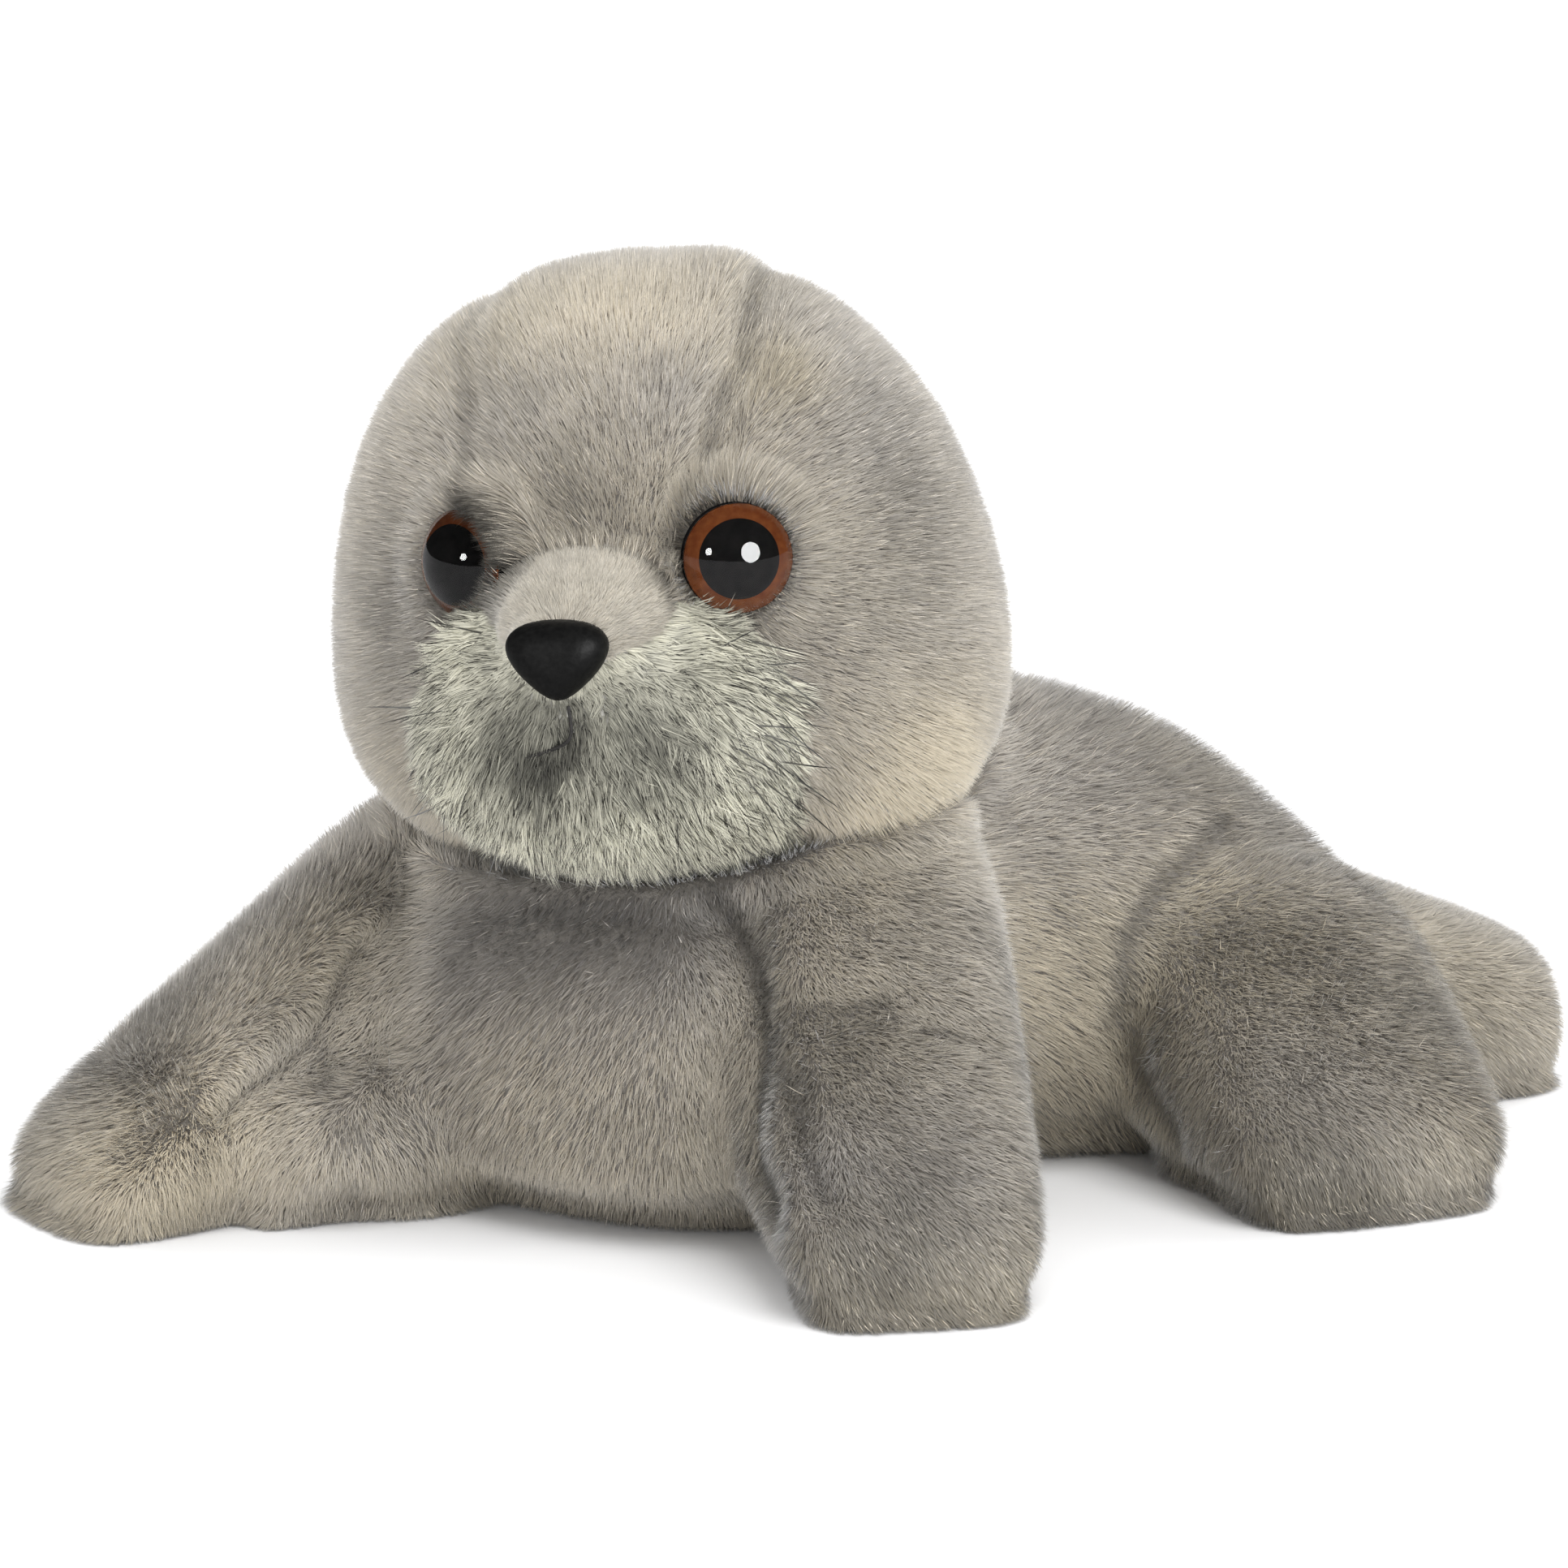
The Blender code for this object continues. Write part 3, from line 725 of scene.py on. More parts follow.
def strand_mesh(name, spine, sides, widths, normals, tone, hue, material):
    """Tapering strands. spine holds each strand's points from root to tip, and widths the
    width at all but the tip, which is a point."""
    count, levels = spine.shape[:2]
    pairs = levels - 1
    rows = np.empty((count, 2 * pairs + 1, 3))
    for level in range(pairs):
        half = sides * (widths[:, level] / 2)[:, None]
        rows[:, 2 * level] = spine[:, level] - half
        rows[:, 2 * level + 1] = spine[:, level] + half
    rows[:, -1] = spine[:, -1]
    rows[:, :, 2] = np.maximum(rows[:, :, 2], FLOOR_CLEARANCE)
    pattern = []
    for level in range(pairs - 1):
        k = 2 * level
        pattern += [(k, k + 1, k + 3), (k, k + 3, k + 2)]
    pattern.append((2 * pairs - 2, 2 * pairs - 1, 2 * pairs))
    pattern = np.array(pattern)
    per = rows.shape[1]
    faces = (np.arange(count)[:, None, None] * per + pattern).reshape(-1, 3)
    # The corners run so that each face looks out from the skin
    flat = rows.reshape(-1, 3)
    a, b, c = (flat[faces[:, k]] for k in range(3))
    out = np.repeat(normals, len(pattern), axis=0)
    inward = np.sum(np.cross(b - a, c - a) * out, axis=1) < 0
    faces[inward] = faces[inward][:, ::-1]

    mesh = bpy.data.meshes.new(name)
    mesh.vertices.add(len(flat))
    mesh.vertices.foreach_set("co", flat.astype(np.float32).ravel())
    mesh.loops.add(faces.size)
    mesh.loops.foreach_set("vertex_index", faces.astype(np.int32).ravel())
    mesh.polygons.add(len(faces))
    mesh.polygons.foreach_set("loop_start", np.arange(0, faces.size, 3, dtype=np.int32))
    mesh.update(calc_edges=True)

    level_of = np.append(np.repeat(np.arange(pairs), 2), pairs)
    up = 0.06 + 0.88 * level_of / pairs
    across = np.append(np.tile((-0.5, 0.5), pairs), 0.0) * 0.006
    spot = np.empty((count, per, 2))
    spot[:, :, 0] = np.clip(tone, 0.01, 0.99)[:, None] + across
    spot[:, :, 1] = (up + np.rint(np.clip(hue, 0, 1) * (HUE_BANDS - 1))[:, None]) / HUE_BANDS
    layer = mesh.uv_layers.new(name="OFBake")
    layer.uv.foreach_set("vector", spot.reshape(-1, 2)[faces.ravel()].astype(np.float32).ravel())
    thing = add_object(name, mesh, material)
    shade_smooth(thing)

    tangent = unit(spine[:, -1] - spine[:, 0])
    across_strand = unit(normals - tangent * np.sum(normals * tangent, axis=1, keepdims=True))
    shown = unit(0.8 * normals + 0.2 * across_strand)
    mesh.normals_split_custom_set_from_vertices(np.repeat(shown, per, axis=0).astype(np.float32).tolist())
    return thing


def nearest_of(points, picked):
    """For each point, which of the picked rows lies nearest."""
    tree = point_tree(points[picked])
    return np.array([tree.find(row)[1] for row in points])


def grow(name, skin, seed, count, weight, comb, tone, length, width, lean_deg, material,
         levels=1, tuft=1.6 * MM, tufted=0.15, spread=0.2, droop=0.0, ragged=(0.8, 1.08), cut=None,
         facing=None, folds=None):
    """Strands on a skin. comb gives their direction, tone their colour, length their length and
    lean_deg how steeply they stand. facing may turn the way that they stand out, and folds
    shorten them and give them painted shade. In short pile, the lightest strands, which are
    painted glints, stand nearly upright."""
    rng = np.random.default_rng(seed)
    count = int(count * QUICK_SHARE)
    places, normals = scattered(skin.data, count, weight, rng)
    if cut is not None:
        keep = cut(places)
        places, normals = places[keep], normals[keep]
    count = len(places)
    shown_tone, hue = tone(places, normals, rng)
    glinting = (shown_tone > 0.88) & (levels == 1)
    reach = length(places, normals) * rng.uniform(*ragged, count)
    if folds is not None:
        depth, fold_shade = folds.at(places)
        shown_tone = shown_tone - fold_shade
        reach *= 1 - 0.2 * np.clip(depth / MM, 0, 1.5)
    if levels > 1:
        reach *= 1 + 0.25 * hue
    if facing is not None:
        normals = facing(places, normals)
    lay = along_surface(comb(places, normals), normals)
    side = np.cross(normals, lay)
    wander = spread * (lumps(places, 8, seed + 1) + 0.6 * lumps(places, 2.5, seed + 2))
    wander += rng.normal(0, spread * 1.2, count)
    lay = unit(lay * np.cos(wander)[:, None] + side * np.sin(wander)[:, None])
    steep = np.where(glinting, GLINT_LEAN_DEG, lean_deg(places) if callable(lean_deg) else lean_deg)
    lean = np.radians(steep) * (1 + 0.10 * lumps(places, 4, seed + 3) + rng.normal(0, 0.12, count))
    # Strands rise first and then lie over
    spine = [places - normals * 0.3 * MM]
    for level in range(levels):
        share = (level + 1) / levels
        angle = lean * (1.35 - 0.7 * share) if levels > 1 else lean
        rise = np.sin(angle)[:, None] * normals + np.cos(angle)[:, None] * lay
        rise[:, 2] -= droop * share
        spine.append(spine[-1] + unit(rise) * (reach / levels)[:, None])
    spine = np.stack(spine, axis=1)

    # The tips draw together in tufts
    area = sum(p.area for p in skin.data.polygons)
    led = min(area / (tuft * tuft) / max(count, 1), 1.0)
    leaders = rng.choice(count, max(int(count * led), 1), replace=False)
    leader = leaders[nearest_of(places, leaders)]
    offset = places - places[leader]
    hold = np.clip(1 - np.linalg.norm(offset, axis=1) / (2 * tuft), 0, 1)
    for level in range(1, levels + 1):
        share = level / levels
        aim = spine[leader, level] + offset * (1 - 0.45 * share)
        pull = (tufted * share * hold)[:, None]
        spine[:, level] += (aim - spine[:, level]) * pull
    sides = unit(np.cross(unit(spine[:, -1] - spine[:, 0]), normals))
    twist = rng.normal(0, 0.45, count)
    sides = unit(sides * np.cos(twist)[:, None] + normals * np.sin(twist)[:, None])
    widths = np.stack([width * (1 - 0.75 * (k / levels) ** 1.3) * rng.uniform(0.8, 1.2, count)
                       for k in range(levels)], axis=1)
    pile = strand_mesh(name, spine, sides, widths, normals, shown_tone, hue, material)
    pile.parent = skin
    return pile


def inside(thing):
    """Says which points lie inside an object, by how often a line out of it crosses the skin."""
    tree = mesh_tree([thing])
    rows = vertex_rows(thing.data)
    low, high = rows.min(axis=0), rows.max(axis=0)
    way = Vector((0.13, 0.31, 1)).normalized()

    def within(points):
        found = np.zeros(len(points), bool)
        for k in np.flatnonzero(np.all((points > low) & (points < high), axis=1)):
            hit = tree.ray_cast(Vector(points[k]), way)[0]
            while hit is not None:
                found[k] = not found[k]
                hit = tree.ray_cast(hit + way * 0.000002, way)[0]
        return found

    return within


in_head_skin, in_body_skin = inside(head), inside(body)


def by_eye(points):
    """For each eye in turn: its side, and the points in its own directions and their distance
    from its axis. Points behind it have no distance."""
    for label, (side, _) in EYES.items():
        own = moved(eye_place(label).inverted(), points)
        radius = np.where(own[:, 2] > -12 * MM, np.linalg.norm(own[:, :2], axis=1), 1.0)
        yield side, own, radius


def inner_side(points):
    """1 on the inner and upper side of its right eye, where the pile lies over the rim."""
    share = np.zeros(len(points))
    for side, own, radius in by_eye(points):
        if side < 0:
            x, y = own[:, :2].T / np.maximum(radius, 1e-6)
            toward = 0.9 * x + np.maximum(0.45 * y, -0.35 * y)
            share = np.where(radius < 16 * MM, smooth_step(-0.1, 0.6, toward), share)
    return share


def comb_head(points, normals):
    """Away from the nose on the face, and back and down behind it."""
    own = in_head(points)
    x, y, z = own.T
    forward = fade(12, -14, y)[:, None]
    radial = unit(np.column_stack((x, np.zeros(len(x)), z - NOSE_TIP[2])))
    aside = fade(15, 30, np.abs(x))
    radial += np.column_stack((0 * x, 0.5 + 0.3 * aside, -0.45 * aside))
    back = np.column_stack((np.sign(x) * 0.2, np.full(len(x), 0.8), -0.6 - 6 * np.clip(y, 0, 1)))
    way = turned_rows(HEAD_TURN, forward * radial + (1 - forward) * back)
    way = unit(way)
    radius, away = from_eye(points)
    near = fade(13, 8, radius)
    leaving = (0.5 * near * smooth_step(-0.4, 0.4, np.sum(way * away, axis=1)))[:, None]
    over = (near * inner_side(points))[:, None]
    return (way * (1 - leaving) + away * leaving) * (1 - over) - away * over


def flipper_shares(points):
    """How far each point belongs to each flipper, from 0 to 1, and the flipper's direction."""
    found = {}
    for label, half, length, along, _, reach, aside in by_flipper(points):
        share = smooth_step(0.12, 0.42, reach / length) * fade(half + 7, half, aside)
        found[label] = share, np.array((*along, 0.0))
    return found


def comb_right_flipper(points, along):
    """Down and inwards above the seam between its two panels, down and out below it, and down at
    the tip."""
    reach = (points[:, :2] - np.array(FLIPPERS["front_right"][0]) * MM) @ along[:2]
    above = points[:, 2] - (PANEL_TOP - PANEL_SLOPE * (reach - PANEL_START))
    upper = fade(-5, 5, above)
    near = upper * fade(14, 2, above)
    sideways = -0.45 + 0.95 * upper + 0.6 * near
    way = sideways[:, None] * PHOTO_RIGHT + np.outer(-0.8 + 0.4 * near, (0, 0, 1))
    tip = fade(50, 68, reach)[:, None]
    return way * (1 - tip) + tip * (0.35 * along + np.array((0, 0, -0.9)))


def comb_body(points, normals):
    """Back along the body, down the chest, and along and down each flipper."""
    start = math.radians(SPINE_START_DEG)
    centre = SPINE_RADIUS * np.array((math.cos(start), -math.sin(start)))
    out = points[:, :2] - centre
    out = out / np.linalg.norm(out, axis=1, keepdims=True)
    way = np.column_stack((out[:, 1], -out[:, 0], np.full(len(out), -0.45)))
    chest = fade(-14, -30, points[:, 1]) * smooth_step(0.0, 0.5, -normals[:, 1])
    way = way * (1 - chest)[:, None] + chest[:, None] * np.array((0.05, 0, -1.2))
    for label, (share, along) in flipper_shares(points).items():
        if label == "front_right":
            own = comb_right_flipper(points, along)
        elif label == "front_left":
            own = np.array((0.6, -0.1, -0.7))
        else:
            own = 0.6 * along + np.array((0.15, 0, -0.8))
        way = way * (1 - share)[:, None] + share[:, None] * own
    return way


def mottled(points, base, seed):
    return (base + 0.05 * lumps(points, 24, seed) + 0.07 * lumps(points, 9, seed + 1)
            + 0.06 * lumps(points, 2.5, seed + 2))


def with_glints(tone, rng):
    """A few strands are nearly white, as painted glints, and a few are dark, as painted shade
    between the tufts.
    """
    draw = rng.random(len(tone))
    tone = tone + rng.normal(0, 0.06, len(tone))
    tone = np.where(draw < 0.04, rng.uniform(0.9, 0.99, len(tone)), tone)
    return np.where(draw > 0.96, tone - 0.25, tone)


def near_hue(hue, rng):
    return hue + rng.normal(0, 0.1, len(hue))


def tone_head(points, normals, rng):
    own = in_head(points)
    x, y, z = own.T
    middle = fade(24, 14, np.abs(x)) * fade(90, 100, z)
    middle *= fade(5, -10, y)
    low = fade(85, 60, z)
    lighter, warmer = patched(own, HEAD_TONE_AND_PAINTED_LIGHT)
    tone = mottled(points, 0.61, 11) + 0.02 * middle + 0.04 * low + lighter
    radius, _ = from_eye(points)
    # Painted shade round the eyes, deepest where the pile lies over the inner rim of its right eye
    tone -= (0.09 + 0.40 * inner_side(points)) * fade(11, 8, radius)
    warmth = 0.5 + 0.1 * middle + 0.15 * low + 0.25 * lumps(points, 20, 15) + warmer
    return with_glints(tone, rng), near_hue(warmth, rng)


def tone_body(points, normals, rng):
    lighter, warmer = patched(points, BODY_TONE_AND_PAINTED_LIGHT)
    # Darker in the lowest few millimetres, by the floor
    floor_band = fade(5, 1, points[:, 2])
    tone = mottled(points, 0.60, 31) + lighter - 0.14 * floor_band
    low = fade(45, 10, points[:, 2])
    warmth = 0.52 + 0.15 * low + 0.25 * lumps(points, 20, 35) + warmer
    return with_glints(tone, rng), near_hue(warmth, rng)


def head_length(points, normals):
    """Round the eyes, the tips come up to their rims, and over the inner side of its right eye's."""
    length = np.full(len(points), 3.3 * MM)
    over = inner_side(points)
    for side, own, radius in by_eye(points):
        near = fade(12.5, 9, radius)
        above = smooth_step(0.2, 0.9, own[:, 1] / np.maximum(radius, 1e-6))
        tip = (0.4 + (2.2 * over if side < 0 else 0.7 + 0.5 * above)) * MM
        needed = np.clip((tip - own[:, 2]) / 0.88, 1.8 * MM, 7.0 * MM)
        length = length * (1 - near) + needed * near
    return length


def head_lean(points):
    """Beside an eye the pile stands up, and its left eye's rim has strands that lean in over it."""
    radius, _ = from_eye(points)
    near = fade(12, 8.5, radius)
    rim = fade(9, 7.5, radius) * (in_head(points)[:, 0] > 0)
    return HEAD_LEAN_DEG + near * (14 - 12 * inner_side(points)) + 28 * rim


def body_length(points, normals):
    under = smooth_step(-0.3, -0.9, normals[:, 2])
    return (3.5 - 1.3 * under) * MM


def off_solids(points):
    """Which places are clear of the eyes, the nose and the body, so that a strand may grow there."""
    radius, _ = from_eye(points)
    own = in_head(points)
    nose = np.hypot(own[:, 0] / 5.0, (own[:, 2] - NOSE_TIP[2] - 1.0 * MM) / 3.6) < 1 * MM
    clear = (radius > 7.1 * MM) & ~(nose & (own[:, 1] < -20 * MM))
    clear[clear] = ~in_body_skin(points[clear])
    return clear


def off_face(points):
    white, cream = face_areas(points)
    return off_solids(points) & ~white & ~cream


def front_share(points):
    return fade(14, 6, in_head(points)[:, 1])


def head_front(points, normals):
    """Thicker where the pile lies over the rim of an eye, and none where the white pile grows."""
    rim = fade(11, 9, from_eye(points)[0]) * inner_side(points)
    return front_share(points) * (1 + 3 * rim) * ~face_areas(points)[0]


def head_behind(points, normals):
    return 1 - front_share(points)


piles = [
    grow("head_pile_front", head, 101, 178000, head_front, comb_head, tone_head, head_length,
         0.19 * MM, head_lean, grey_strands, cut=off_face, folds=head_seams),
    grow("head_pile_back", head, 102, 75000, head_behind, comb_head, tone_head, head_length,
         0.30 * MM, head_lean, grey_strands, cut=off_face, folds=head_seams),
]


def part_of_body(*labels):
    """How thickly to sow one region of the body: the flippers named, or the torso if none is."""

    def weight(points, normals):
        shares = flipper_shares(points)
        total = sum(share for share, _ in shares.values())
        share = sum(shares[label][0] for label in labels) if labels else 1 - np.clip(total, 0, 1)
        underneath = smooth_step(-0.8, -0.97, normals[:, 2])
        return np.clip(share, 0, 1) * (1 - 0.6 * underneath)

    return weight


def off_head(points):
    return ~in_head_skin(points)


for region, seed, labels, count, lean in (
    ("torso_pile", 112, (), 172000, TORSO_LEAN_DEG),
    ("front_flipper_pile", 113, ("front_left", "front_right"), 180000, FLIPPER_LEAN_DEG),
    ("hind_flipper_pile", 114, ("hind_left", "hind_right"), 105000, FLIPPER_LEAN_DEG),
):
    piles.append(grow(region, body, seed, count, part_of_body(*labels), comb_body, tone_body, body_length,
                      0.19 * MM, lean, grey_strands, cut=off_head, folds=body_folds))


def comb_muzzle(points, normals):
    """Away from the nose and a little down, and over the rims of the eyes beside them."""
    own = in_head(points)
    way = unit(own - NOSE_TIP - np.array((0, 0.006, 0.002)))
    way[:, 2] -= 0.25
    radius, away = from_eye(points)
    inward = np.where(own[:, 0] > 0, fade(24, 18, own[:, 0]), 0.3)
    near = 0.85 * (inward * fade(10.5, 8, radius))[:, None]
    return turned_rows(HEAD_TURN, way) * (1 - near) - away * near


def out_of_head(points, normals):
    """Turns the way out towards the way out of the whole head, so that the pads' rims lie flat."""
    way = unit(in_head(points) - np.array((0, 6, 80)) * MM)
    return unit(0.6 * normals + 0.4 * turned_rows(HEAD_TURN, way))


def muzzle_length(points, normals):
    low = fade(64, 56, in_head(points)[:, 2])
    by_rim = fade(11, 8.5, from_eye(points)[0])
    out = fade(5, 18, from_nose(points))
    return (2.6 + (4.0 + 2.4 * low) * out * (1 - 0.4 * by_rim)) * MM


def muzzle_lean(points):
    """It stands up more beside the eyes."""
    return MUZZLE_LEAN_DEG + 22 * fade(11, 8.5, from_eye(points)[0])


def on_white(points, normals):
    return face_areas(points)[0].astype(float)


def on_cream(points, normals):
    return face_areas(points)[1].astype(float)


def tone_muzzle(points, normals, rng):
    """Painted shade below the nose and beside the mouth, and black tips here and there. The strands
    that lie over the eyes' rims carry painted shade too."""
    own = in_head(points)
    x, _, z = own.T
    shade = np.zeros(len(x))
    for centre_x, centre_z, reach, dark in ((1, 75, 13, 0.3), (10, 78.5, 12, 0.45), (-7, 78.5, 11, 0.4),
                                            (-6, 73, 10, 0.3), (-21, 78, 12, 0.14)):
        shade += dark * fade(reach, 0, np.hypot(x - centre_x * MM, z - centre_z * MM))
    tone = 0.80 + 0.08 * lumps(points, 6, 51) + 0.16 * lumps(points, 2.2, 52) - shade
    tone += rng.normal(0, 0.08, len(tone))
    tone -= 0.25 * fade(9.5, 8, from_eye(points)[0])
    tone = np.where(rng.random(len(tone)) < 0.05, tone - 0.4, tone)
    far = fade(8, 20, from_nose(points))
    return np.clip(tone, 0.12, 1.0), (rng.random(len(tone)) < 0.08 + 0.12 * far).astype(float)


def whisker_share(points, normals):
    """Whiskers grow at the sides, and more of them on its left."""
    x = in_head(points)[:, 0]
    sides = fade(12, 22, x) + 0.3 * fade(-12, -20, x)
    return on_white(points, normals) * sides


def tone_whisker(points, normals, rng):
    return np.full(len(points), 0.02), np.ones(len(points))


def whisker_length(points, normals):
    return np.full(len(points), 10 * MM)


def comb_bridge(points, normals):
    own = in_head(points)
    way = turned_rows(HEAD_TURN, unit(own - NOSE_TIP - np.array((0, 0.004, 0.0))))
    near = over_eye(points)[:, None]
    return way * (1 - near) - from_eye(points)[1] * near


def over_eye(points):
    """1 where the bridge's pile lies over the rim of its right eye."""
    return fade(13, 9.5, from_eye(points)[0]) * inner_side(points)


def bridge_length(points, normals):
    return (2.1 + 2.4 * over_eye(points)) * MM


def tone_bridge(points, normals, rng):
    """Cream, with a darker line along its upper edge, and painted shade where its pile lies over
    the rim of its right eye.
    """
    height = in_head(points)[:, 2]
    edge = smooth_step(0.9, 1.0, bridge_share(points)) * fade(90, 95, height)
    tone = 0.64 + 0.07 * lumps(points, 1.5, 61) - 0.3 * edge + rng.normal(0, 0.08, len(points))
    tone -= 0.35 * over_eye(points)
    return np.clip(tone, 0, 1), near_hue(np.full(len(points), 0.35), rng)


# The mouth's fold: the pile dips and carries painted shade along the thread
mouth_fold = Folds(((0.6, 1.2, 0.17, [(x, -49, z) for x, z in MOUTH_LINE]),), HEAD_TURN)

piles += [
    grow("muzzle_pile", head, 201, 50000, on_white, comb_muzzle, tone_muzzle, muzzle_length,
         0.25 * MM, muzzle_lean, muzzle_strands, levels=2, tuft=2.4 * MM, tufted=0.75, spread=0.24,
         droop=0.06, ragged=(0.6, 1.15), cut=off_solids, facing=out_of_head, folds=mouth_fold),
    grow("bridge_pile", head, 202, 20000, on_cream, comb_bridge, tone_bridge, bridge_length,
         0.2 * MM, 50, cream_strands, tuft=1.5 * MM, cut=off_solids),
    grow("whiskers", head, 204, 55, whisker_share, comb_muzzle, tone_whisker, whisker_length,
         0.32 * MM, 36, muzzle_strands, levels=3, tufted=0.0, spread=0.3, droop=0.06, ragged=(0.6, 1.1),
         cut=off_solids, facing=out_of_head),
]


# ---- eyes, nose and mouth ----


def lathe(name, profile, place, material):
    """A piece turned about its own Z from (radius, height) points in millimetres."""
    mesh = bpy.data.meshes.new(name)
    rows = [(radius * MM, 0, height * MM) for radius, height in profile]
    edges = [(k, k + 1) for k in range(len(rows) - 1)]
    if all(radius for radius, _ in profile):
        edges.append((len(rows) - 1, 0))
    mesh.from_pydata(rows, edges, [])
    thing = add_object(name, mesh)
    apply_modifier(thing, "SCREW", steps=LATHE_STEPS, render_steps=LATHE_STEPS, use_merge_vertices=True,
                   merge_threshold=0.00001)
    thing.data.transform(place)
    tidy = bmesh.new()
    tidy.from_mesh(thing.data)
    bmesh.ops.recalc_face_normals(tidy, faces=tidy.faces)
    tidy.to_mesh(thing.data)
    tidy.free()
    dress(thing, material)
    pick(thing)
    bpy.ops.object.shade_smooth_by_angle(angle=math.radians(30))
    return thing


def grained(name, scale, stops, detail=3.0, bump=0.0, **shader_values):
    """A material whose colour varies with a fine grain, which may also be felt."""
    nodes = Nodes(name, **shader_values)
    grain = nodes.noise(scale, detail)
    nodes.link(nodes.ramp(grain, stops), "Base Color")
    if bump:
        nodes.bump(grain, bump, 0.0003)
    return nodes.material


dome_clear = Nodes("clear dome", Roughness=0.015, IOR=1.49, Transmission_Weight=1.0,
                   Base_Color=(1, 1, 1, 1)).material
iris_brown = grained("brown ring", 900.0, ((0.3, (0.13, 0.036, 0.012)), (0.7, (0.20, 0.062, 0.02))),
                     Roughness=0.5, Specular_IOR_Level=0.0)
pupil_black = grained("black back", 700.0, ((0.3, (0.006, 0.006, 0.006)), (0.7, (0.012, 0.011, 0.011))),
                      Roughness=0.5, Specular_IOR_Level=0.0)
nose_black = grained("nose plastic", 1400.0, ((0.35, (0.004, 0.004, 0.004)), (0.75, (0.009, 0.009, 0.0087))),
                     detail=6.0, bump=0.25, Roughness=0.5, Specular_IOR_Level=0.12)
thread_black = grained("dark thread", 3000.0, ((0.3, (0.008, 0.007, 0.006)), (0.7, (0.03, 0.026, 0.023))),
                       Roughness=0.8)

ANGLES = [DOME_SPREAD * k / 12 for k in range(12)]
DOME = [(DOME_CURVE * math.sin(a), DOME_HEIGHT - DOME_CURVE * (1 - math.cos(a))) for a in ANGLES]
DOME += [(DOME_RADIUS, 0.0), (DOME_RADIUS, -0.3), (0, -0.3)]
RING = [(PUPIL_RADIUS - 0.1, 0.04), (DOME_RADIUS - 0.1, 0.04), (DOME_RADIUS - 0.1, -0.2),
        (PUPIL_RADIUS - 0.1, -0.2)]
BACKING = [(0, 0.08), (PUPIL_RADIUS, 0.08), (PUPIL_RADIUS, -0.35), (DOME_RADIUS, -0.35),
           (DOME_RADIUS, -2.5), (STEM_RADIUS, -2.5), (STEM_RADIUS, -13.5), (0, -13.5)]
for label in EYES:
    for name, profile, material, slot, node in (
        ("eye_dome_", DOME, dome_clear, "clear_plastic", "eye_lens_"),
        ("eye_iris_", RING, iris_brown, "brown_plastic", "eye_ring_"),
        ("eye_back_", BACKING, pupil_black, "black_plastic", "eye_backing_"),
    ):
        finish_piece(lathe(name + label, profile, eye_place(label), material), slot, node + label)

nose = cad_copy("nose_plastic_piece", "nose")
apply_modifier(nose, "SUBSURF", levels=1, render_levels=1)
dress(nose, nose_black)
shade_smooth(nose)
finish_piece(nose, "nose_plastic", "nose")


def mouth_thread():
    """The stitch, drawn onto the muzzle's cloth along the same path as the solid one."""
    tree = mesh_tree([head])
    inward = HEAD_TURN.to_3x3() @ Vector((0, 1, 0))
    points = []
    for k, (x, z) in enumerate(MOUTH_LINE):
        hit, normal, _, _ = tree.ray_cast(HEAD_TURN @ (Vector((x, -90, z)) * MM), inward)
        points.append(hit + normal * (1.5 - 0.25 * max(k - 2, 0)) * MM)
    curve = bpy.data.curves.new("mouth_thread", "CURVE")
    curve.dimensions = "3D"
    curve.bevel_depth = 0.24 * MM
    curve.bevel_resolution = 3
    curve.use_fill_caps = True
    line = curve.splines.new("NURBS")
    line.points.add(len(points) - 1)
    for spot, point in zip(line.points, points):
        spot.co = (*point, 1)
    line.use_endpoint_u = True
    pick(add_object("mouth_thread", curve))
    bpy.ops.object.convert(target="MESH")
    thread = bpy.context.view_layer.objects.active
    dress(thread, thread_black)
    shade_smooth(thread)
    return finish_piece(thread, "dark_thread", "mouth_stitch")


mouth_thread()

for cloth, nodes in ((head, HEAD_NODES), (body, BODY_NODES)):
    finish_piece(cloth, "grey_pile", *nodes)


# ---- stage ----


def floor_material():
    """White, but dim in the mirror images that the eyes show."""
    nodes = Nodes("floor", Roughness=0.9, Specular_IOR_Level=0.0)
    mirrored = nodes.add("ShaderNodeLightPath").outputs["Is Glossy Ray"]
    nodes.link(nodes.mix((0.96, 0.96, 0.96), (0.34, 0.34, 0.34), mirrored), "Base Color")
    return nodes.material


bpy.ops.mesh.primitive_plane_add(size=60, location=(0, 0, 0))
floor = bpy.context.view_layer.objects.active
floor.name = "floor"
floor.data.materials.append(floor_material())

scene = bpy.context.scene
world = bpy.data.worlds.new("studio")
scene.world = world
world.use_nodes = True
sky = world.node_tree
rays = sky.nodes.new("ShaderNodeLightPath").outputs


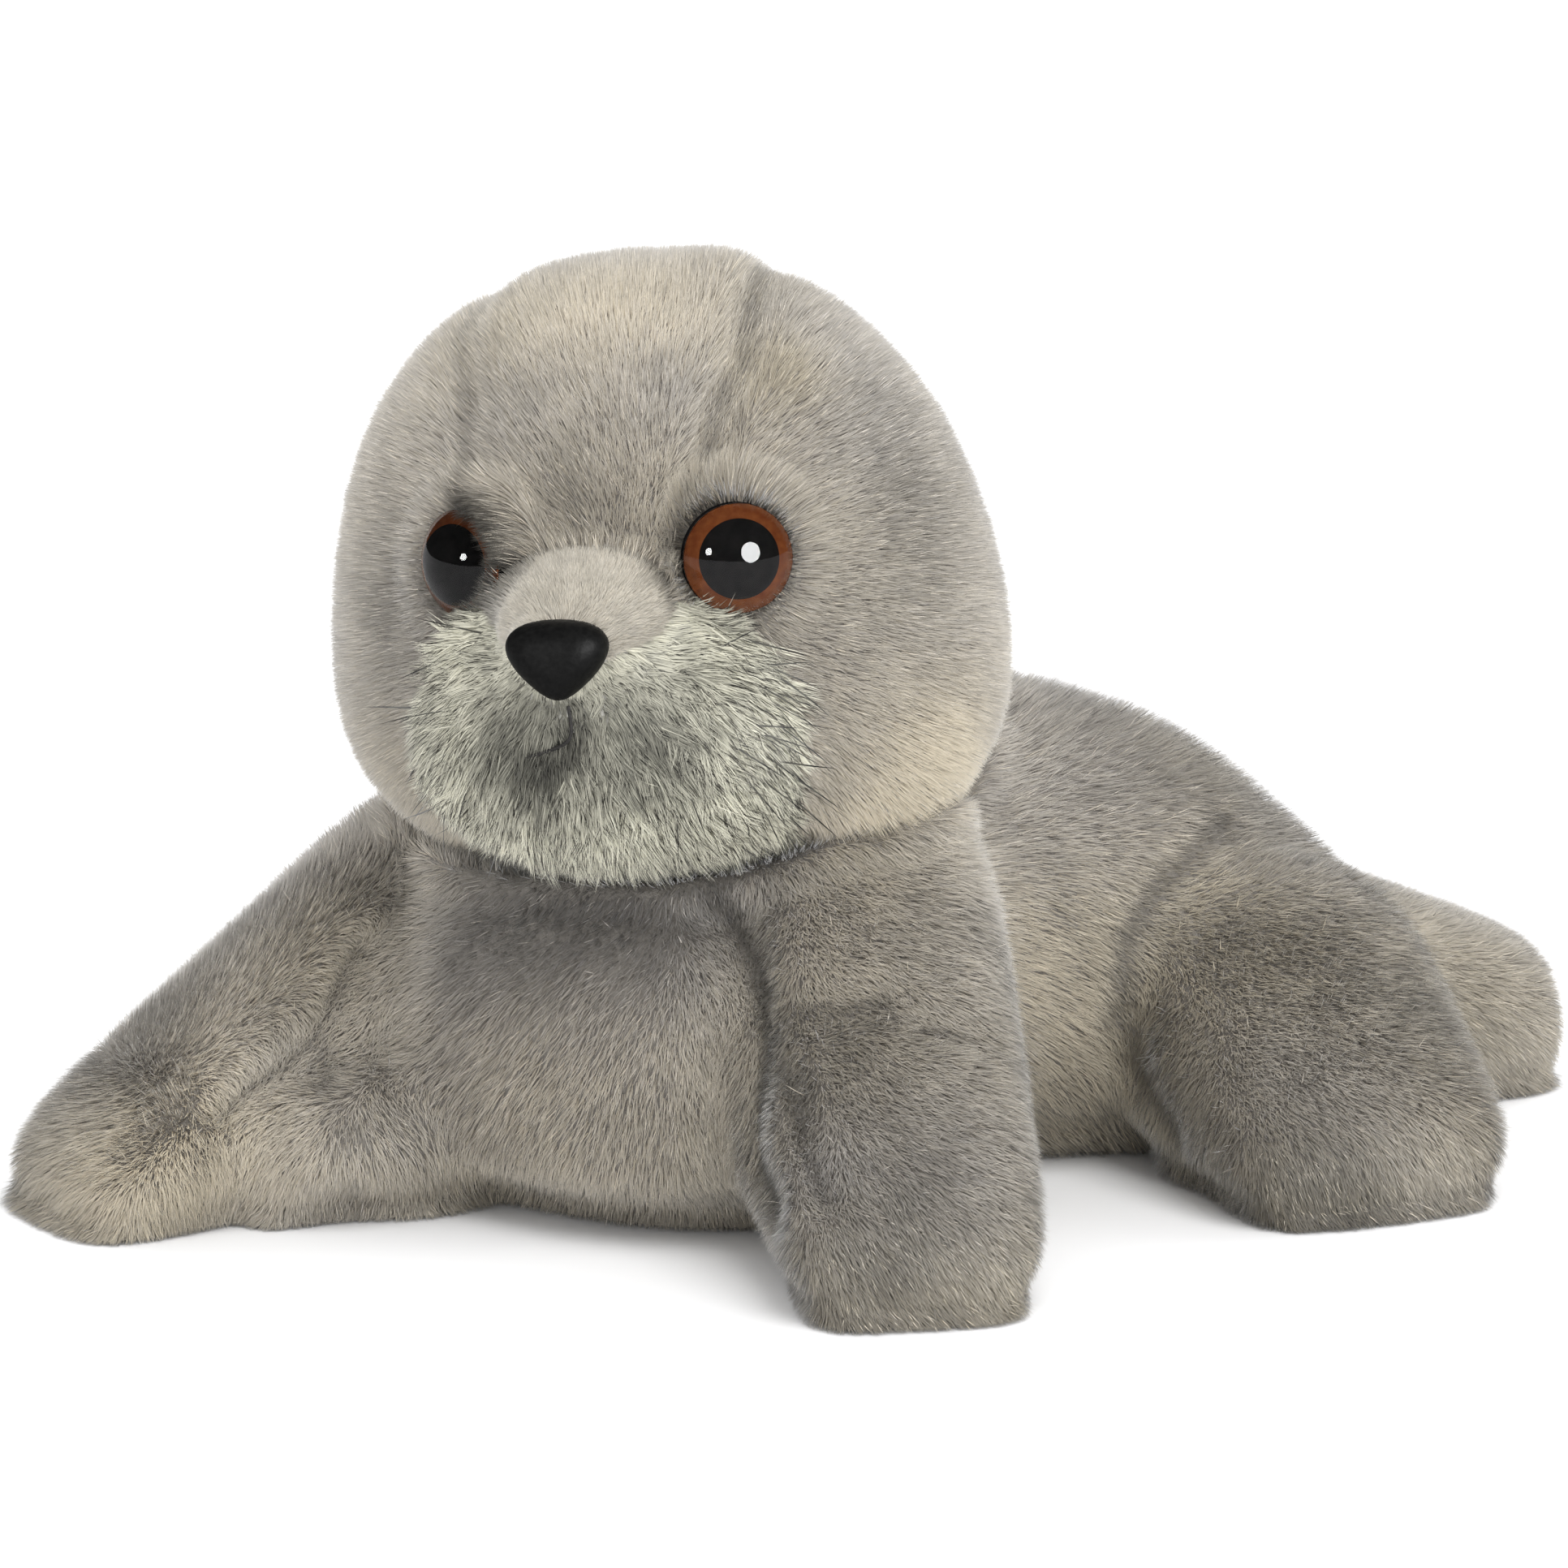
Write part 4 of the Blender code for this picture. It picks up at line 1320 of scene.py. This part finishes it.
def sky_mix(ray, colour):
    """A colour that only one kind of ray sees. Its first input holds what the others see."""
    node = sky.nodes.new("ShaderNodeMix")
    node.data_type = "RGBA"
    node.inputs[7].default_value = (*colour, 1)
    sky.links.new(rays[ray], node.inputs[0])
    return node.inputs[6], node.outputs[2]


others, straight = sky_mix("Is Camera Ray", (1, 1, 1))
others.default_value = (0.62, 0.62, 0.63, 1)
others, mirrored = sky_mix("Is Glossy Ray", (0.025, 0.025, 0.025))
sky.links.new(straight, others)
sky.links.new(mirrored, sky.nodes["Background"].inputs["Color"])


def way_to(azimuth, elevation):
    """The direction from the toy towards a place round it."""
    a, e = math.radians(azimuth), math.radians(elevation)
    return Vector((math.sin(a) * math.cos(e), -math.cos(a) * math.cos(e), math.sin(e)))


def aimed(thing, target, azimuth, elevation, distance):
    """Sets a light or the camera to look at a place from this far away."""
    way = way_to(azimuth, elevation)
    thing.location = target + way * distance
    thing.rotation_euler = way.to_track_quat("Z", "Y").to_euler()
    return thing


def add_light(name, kind, azimuth, elevation, energy, **settings):
    data = bpy.data.lights.new(name, kind)
    data.energy = energy
    for key, value in settings.items():
        setattr(data, key, value)
    return aimed(add_object(name, data), LIGHT_TARGET, azimuth, elevation, LIGHT_DISTANCE)


for name, azimuth, elevation, strength, spread in (
    ("key", 55, 60, 1.65, 40), ("fill", -5, 42, 0.5, 60), ("side", 80, 8, 0.5, 50),
    ("rim left", -100, 30, 0.7, 40), ("rim back", 145, 35, 0.8, 40),
):
    lamp = add_light(name, "SUN", azimuth, elevation, strength, angle=math.radians(spread))
    lamp.visible_glossy = lamp.visible_transmission = False
for name, azimuth, elevation, size, energy in (
    ("catch right", 57, 14, 0.72, 26), ("catch left", -17, 14, 0.24, 3.2),
):
    lamp = add_light(name, "AREA", azimuth, elevation, energy, shape="DISK", size=size)
    lamp.visible_diffuse = False

camera = add_object("camera", bpy.data.cameras.new("camera"))
aimed(camera, CAMERA_TARGET, CAMERA_AZIMUTH, CAMERA_ELEVATION, CAMERA_DISTANCE)
camera.data.sensor_width = 36
camera.data.lens = CAMERA_LENS
camera.data.clip_start = 0.05
scene.camera = camera
scene.view_settings.view_transform = "Standard"
